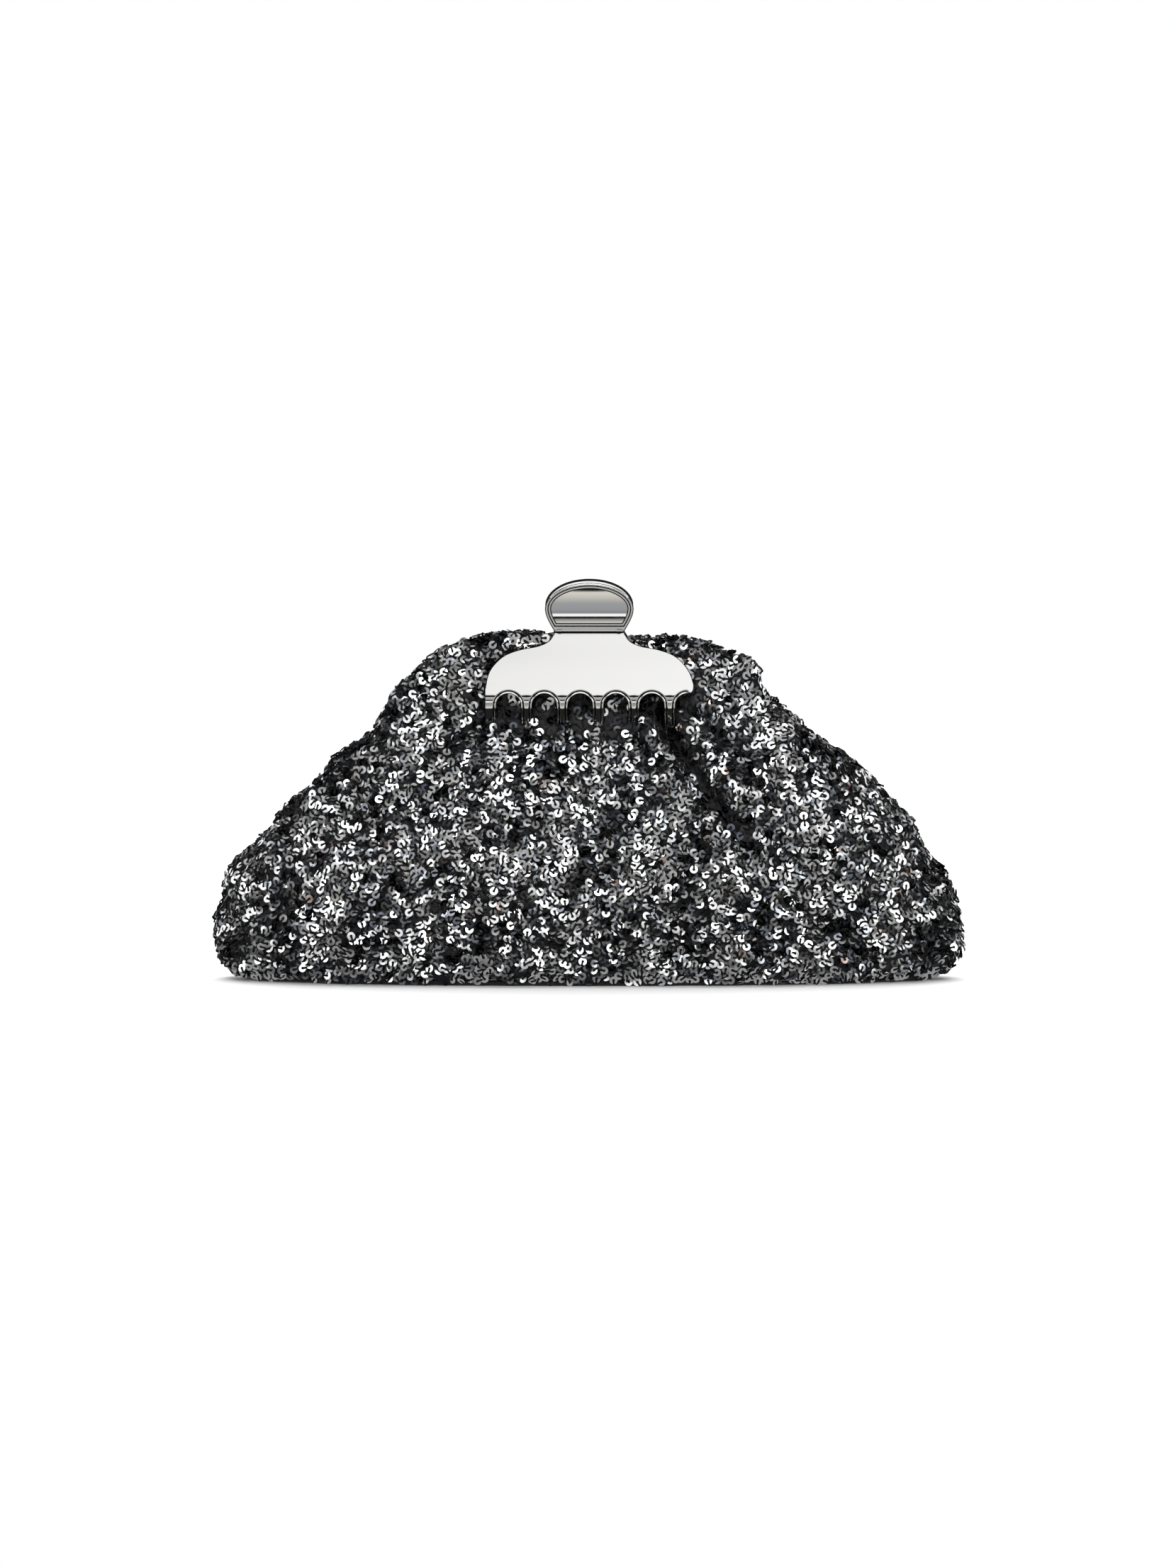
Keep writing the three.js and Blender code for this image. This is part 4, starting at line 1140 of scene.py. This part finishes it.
def jaw(name, turned):
    """The jaw's plate with its two lugs, turned round for the rear."""
    points, faces, slots = JAW_MESH
    for x in LUG_X:
        lug, lug_faces = lug_mesh(x)
        faces = np.concatenate([faces, as_triangles(lug_faces) + len(points)])
        points = np.concatenate([points, lug])
    if turned:
        points = points * np.array([-1, -1, 1])
    slots = np.concatenate([slots, np.full(len(faces) - len(slots), METAL_SLOT)])
    piece = mesh_object(name, points, faces, [CLIP_METAL, CLIP_PAINTED_SHADE, CLIP_RIM], slots)
    crease_between_slots(piece.data)
    return piece


SPRING_INSET, LEG_INSET_Y = 0.6, 0.5
SPRING_TURNS, STEPS_PER_TURN, LEG_STEPS = 5.5, 28, 12
COIL_RADIUS = 2.5
WIRE_RADIUS, WIRE_SIDES = 0.45, 12


def add_spring():
    """The torsion spring: a coil round the pin, and a leg that ends short of each thumb tab."""
    half, leg_y = SPRING_HIGH[0] - SPRING_INSET, SPRING_HIGH[1] - LEG_INSET_Y
    leg_z = SPRING_HIGH[2] - SPRING_INSET
    angle = np.linspace(0, SPRING_TURNS * 2 * np.pi, int(SPRING_TURNS * STEPS_PER_TURN))
    turn_x = np.linspace(-half, half, len(angle))
    turn = np.column_stack([turn_x, -COIL_RADIUS * np.cos(angle), PIN_Z - COIL_RADIUS * np.sin(angle)])
    share = np.linspace(0, 1, LEG_STEPS)[:, None]
    first = np.array([-half, -leg_y, leg_z]) * (1 - share) + turn[0] * share
    last = turn[-1] * (1 - share) + np.array([half, leg_y, leg_z]) * share
    points, faces = sweep(np.concatenate([first[:-1], turn, last[1:]]), WIRE_RADIUS, WIRE_SIDES)
    spring = mesh_object("spring_wire_coil", points, faces, [SPRING_STEEL])
    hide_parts("torsion_spring")
    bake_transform(spring)


# ---- putting the pieces in place

BENDS = "bends with the mouth"
SIDES = (("front", FRONT, BENDS), ("rear", REAR, "bag_body"))
OUTER_PANELS = {FRONT: ("outer_front_panel", "outer_front_mouth_panel"), REAR: ("outer_rear_panel",)}
BASE_CLOTH_INSET, BASE_LINING_INSET, BASE_LINING_DOME = 1.2, 4.6, 0.25
PIN_CHAMFER, CAP_BORE_GAP, CAP_DOME_START = 0.3, 0.25, 0.45
AXIS_RADIUS = 0.01


def place(piece, slot_name, *nodes, body="bag_body"):
    """Hide a piece's CAD nodes and give it its body; its slot name is not used.

    One that bends is left on no body, with its placing applied to its points.
    """
    if nodes:
        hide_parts(*nodes)
    if body == BENDS:
        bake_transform(piece)
    else:
        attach(piece, body)


for name, side, body in SIDES:
    place(ground_cloth(side, f"{name}_ground_cloth"), "sequin_fabric", *OUTER_PANELS[side], body=body)
for name, side, body in SIDES:
    place(lining(side, f"{name}_lining"), "lining_fabric", f"lining_{name}", f"facing_{name}", body=body)
base_cloth = base_plate("base_cloth", BASE_LOW[2], BASE_HIGH[2], BASE_CLOTH_INSET, GROUND_CLOTH, 0)
place(base_cloth, "sequin_fabric", "outer_base_panel")
low, high = (corner[2] for corner in box_mm("lining_base"))
base_lining = base_plate("base_lining", low, high, BASE_LINING_INSET, LINING_CLOTH, BASE_LINING_DOME)
place(base_lining, "lining_fabric", "lining_base")
trims = {}
for name, side, body in SIDES:
    trims[name] = [*add_sequins(side, f"{name}_sequins"), add_yarn(side, f"{name}_yarn")]
    for piece in trims[name]:
        place(piece, "sequin_fabric", body=body)

JAW_MESH = jaw_mesh()
place(jaw("front_jaw_casting", False), "polished_metal", "front_jaw", body="front_jaw")
place(jaw("rear_jaw_casting", True), "polished_metal", "rear_jaw")
add_spring()

pin_radius = (PIN_HIGH[2] - PIN_LOW[2]) / 2
pin_end = [(PIN_HIGH[0] - PIN_CHAMFER, pin_radius), (PIN_HIGH[0], pin_radius - PIN_CHAMFER)]
pin_end.append((PIN_HIGH[0], AXIS_RADIUS))
pin_rod = lathe("pin_rod", mirrored(pin_end) + pin_end, SPRING_STEEL, (1, 0, 0), (0, 0, PIN_Z))
place(pin_rod, "spring_steel", "hinge_pin")
cap_radius = (CAP_HIGH[2] - CAP_LOW[2]) / 2
cap_length = CAP_HIGH[0] - CAP_LOW[0]
dome_angles = np.linspace(CAP_DOME_START, math.pi / 2 - 0.01, 12)
dome = [(cap_length * math.sin(a), cap_radius * math.cos(a)) for a in dome_angles]
cap_profile = [(0, pin_radius + CAP_BORE_GAP), (0, cap_radius), *dome, (cap_length, AXIS_RADIUS)]
for name, end in (("pin_cap_left", -1), ("pin_cap_right", 1)):
    cap = lathe(name + "_dome", cap_profile, CLIP_METAL, (end, 0, 0), (end * CAP_LOW[0], 0, PIN_Z))
    place(cap, "polished_metal", name)

steel_nodes = ["front_half_frame", "rear_half_frame", "frame_rivet_left", "frame_rivet_right"]
steel_nodes += [f"clip_screw_{number}" for number in range(1, 5)]
for name in (*steel_nodes, "base_board"):
    for material_slot in frame["nodes"][name].material_slots:
        material_slot.material = BOARD if name == "base_board" else FRAME_STEEL


# ---- studio, in metres

CAMERA_DISTANCE = 3.6
CAMERA_ELEVATION = math.radians(4.75)
BAG_SHARE_OF_WIDTH = 0.64
LOOK_AT = Vector((-0.0005, 0, 0.0752))
SENSOR = 36.0
FLOOR_RADII = (0.001, 0.5, 1.3)
SHEEN_RADII = (0.001, 1.1)
SHEEN_DROP = 0.0015
SHEEN_STRETCH = (0.25, 1, 0)
STUDIO_SIDES = 64
BACKDROP_RADIUS = 9.0
BACKDROP_FOOT, BACKDROP_ROWS = -0.3, 15
CARD_WIDTH, CARD_HEIGHT, CARD_DISTANCE, CARD_MIDDLE = 2.6, 0.95, 2.3, 0.9
CARD_RISE = (0.55, 0, 1)
# Greys, and colours where they lean a little, as (place, colour) stops.
FLOOR_RINGS = [
    (0.0, 0.2), (0.045, 0.32), (0.056, 0.015), (0.137, 0.015), (0.148, (0.72, 0.7, 0.65)),
    (0.18, (0.6, 0.58, 0.53)), (0.22, (0.36, 0.37, 0.38)), (0.28, (0.24, 0.25, 0.28)), (0.298, 1.0),
    (0.345, 1.0), (0.357, 0.01), (0.42, 0.01), (0.44, 0.22), (0.7, (0.62, 0.61, 0.58)), (0.95, 0.3),
]
CARD_FADE = [(0.42, 0.76), (0.66, 0.93), (0.95, 1.02)]
# Name, place, size and watts.
SOFTBOXES = [
    ("top_box", (0.0, -1.5, 1.5), (1.8, 0.7), 14),
    ("left_box", (-1.8, -0.9, 0.7), (1.0, 1.2), 8.5),
    ("right_box", (1.8, -0.9, 0.7), (1.0, 1.2), 11),
    ("back_left_box", (-2.0, 1.4, 0.8), (1.5, 1.6), 9),
    ("back_right_box", (2.0, 1.4, 0.8), (1.5, 1.6), 9),
    ("ceiling_card", (0.0, 0.1, 2.6), (2.4, 1.6), 6.5),
    ("sky_box", (0.0, 1.6, 3.0), (6.0, 5.0), 330),
]
WORLD_STRENGTH = 0.006


def aim(name, data, location, direction):
    """A camera or light at a location, facing along a direction."""
    thing = bpy.data.objects.new(name, data)
    thing.location = location
    thing.rotation_euler = direction.to_track_quat("-Z", "Y").to_euler()
    bpy.context.scene.collection.objects.link(thing)
    return thing


def add_camera():
    data = bpy.data.cameras.new("studio_camera")
    data.sensor_fit = "HORIZONTAL"
    data.sensor_width = SENSOR
    data.lens = SENSOR * CAMERA_DISTANCE / (2 * HALF_WIDTH * MM / BAG_SHARE_OF_WIDTH)
    data.clip_start, data.clip_end = 0.05, 50
    back = Vector((0, -math.cos(CAMERA_ELEVATION), math.sin(CAMERA_ELEVATION)))
    bpy.context.scene.camera = aim("studio_camera", data, LOOK_AT + back * CAMERA_DISTANCE, -back)


def add_softbox(name, location, size, power):
    data = bpy.data.lights.new(name, "AREA")
    data.shape = "RECTANGLE"
    data.size, data.size_y = size
    data.energy = power
    light = aim(name, data, location, LOOK_AT - Vector(location))
    light.visible_glossy = name != "sky_box"


def hide_from(piece, *rays):
    for ray in rays:
        setattr(piece, f"visible_{ray}", False)


def rounds(rings, sides):
    """Points in millimetres and faces of a surface of level rings, each (radius, height) in metres."""
    points = np.concatenate([at_height(circle(sides).T * radius, z) for radius, z in rings]) / MM
    return points, grid_faces(sides, len(rings) - 1, wrap=True)


def add_floor():
    """A round pale floor."""
    pale = plain("studio_floor", (0.9, 0.9, 0.9), 0.7)
    floor = mesh_object("studio_floor", *rounds([(radius, 0) for radius in FLOOR_RADII], 96), [pale])
    hide_from(floor, "glossy")


def vector_math(tree, operation, vector, other=(0, 0, 0)):
    made = node(tree, "ShaderNodeVectorMath", {"operation": operation}, Vector=vector)
    made.inputs[1].default_value = other
    return made


def glowing(name, points, faces, colour_at):
    """A stage surface whose glow is set by a function from object coordinates to a colour."""
    glow, tree, shader = new_material(name, Base_Color=(0, 0, 0), Specular_IOR_Level=0)
    feed(shader, Emission_Color=colour_at(tree, object_place(tree)), Emission_Strength=1.0)
    surface = mesh_object(name, points, faces, [glow])
    hide_from(surface, "camera", "shadow")
    return surface


def add_floor_sheen():
    """What the metal sees of the floor: darker round the bag, a bright ring, then the dark room."""

    def rings(tree, place_on):
        flat = vector_math(tree, "MULTIPLY", place_on, SHEEN_STRETCH)
        length = vector_math(tree, "LENGTH", flat.outputs["Vector"])
        return colour_ramp(tree, length.outputs["Value"], FLOOR_RINGS)

    level = [(radius, -SHEEN_DROP) for radius in SHEEN_RADII]
    hide_from(glowing("studio_floor_sheen", *rounds(level, STUDIO_SIDES), rings), "diffuse")


def add_front_card():
    """A large pale card in front of the bag, a little brighter towards its top and right."""
    x = np.array([-1, 1, 1, -1]) * CARD_WIDTH / 2
    rise = np.array([-1, -1, 1, 1]) * CARD_HEIGHT / 2
    lean = math.atan2(CARD_MIDDLE - LOOK_AT.z, CARD_DISTANCE)
    y, z = rise * math.sin(lean) - CARD_DISTANCE, rise * math.cos(lean) + CARD_MIDDLE

    def fade(tree, place_on):
        part = vector_math(tree, "DOT_PRODUCT", place_on, CARD_RISE)
        return colour_ramp(tree, part.outputs["Value"], CARD_FADE)

    glowing("studio_front_card", np.column_stack([x, y, z]) / MM, np.array([[3, 2, 1, 0]]), fade)


def add_backdrop():
    """A white surround that only the camera sees, so that it adds no light of its own."""
    turns = np.linspace(BACKDROP_FOOT, math.pi / 2 - 0.01, BACKDROP_ROWS + 1)
    dome = [(BACKDROP_RADIUS * math.cos(turn), BACKDROP_RADIUS * math.sin(turn)) for turn in turns]
    glow = {"Base_Color": (0, 0, 0), "Emission_Color": (1, 1, 1), "Emission_Strength": 1.0}
    white, _, _ = new_material("studio_backdrop", **glow)
    backdrop = mesh_object("studio_backdrop", *rounds(dome, STUDIO_SIDES), [white])
    hide_from(backdrop, "diffuse", "glossy", "transmission", "shadow")


add_camera()
add_floor()
add_backdrop()
add_floor_sheen()
add_front_card()
for softbox in SOFTBOXES:
    add_softbox(*softbox)

world = bpy.data.worlds.new("studio")
world.use_nodes = True
feed(world.node_tree.nodes["Background"], Color=(1, 1, 1), Strength=WORLD_STRENGTH)
bpy.context.scene.world = world
bpy.context.scene.view_settings.view_transform = "Standard"
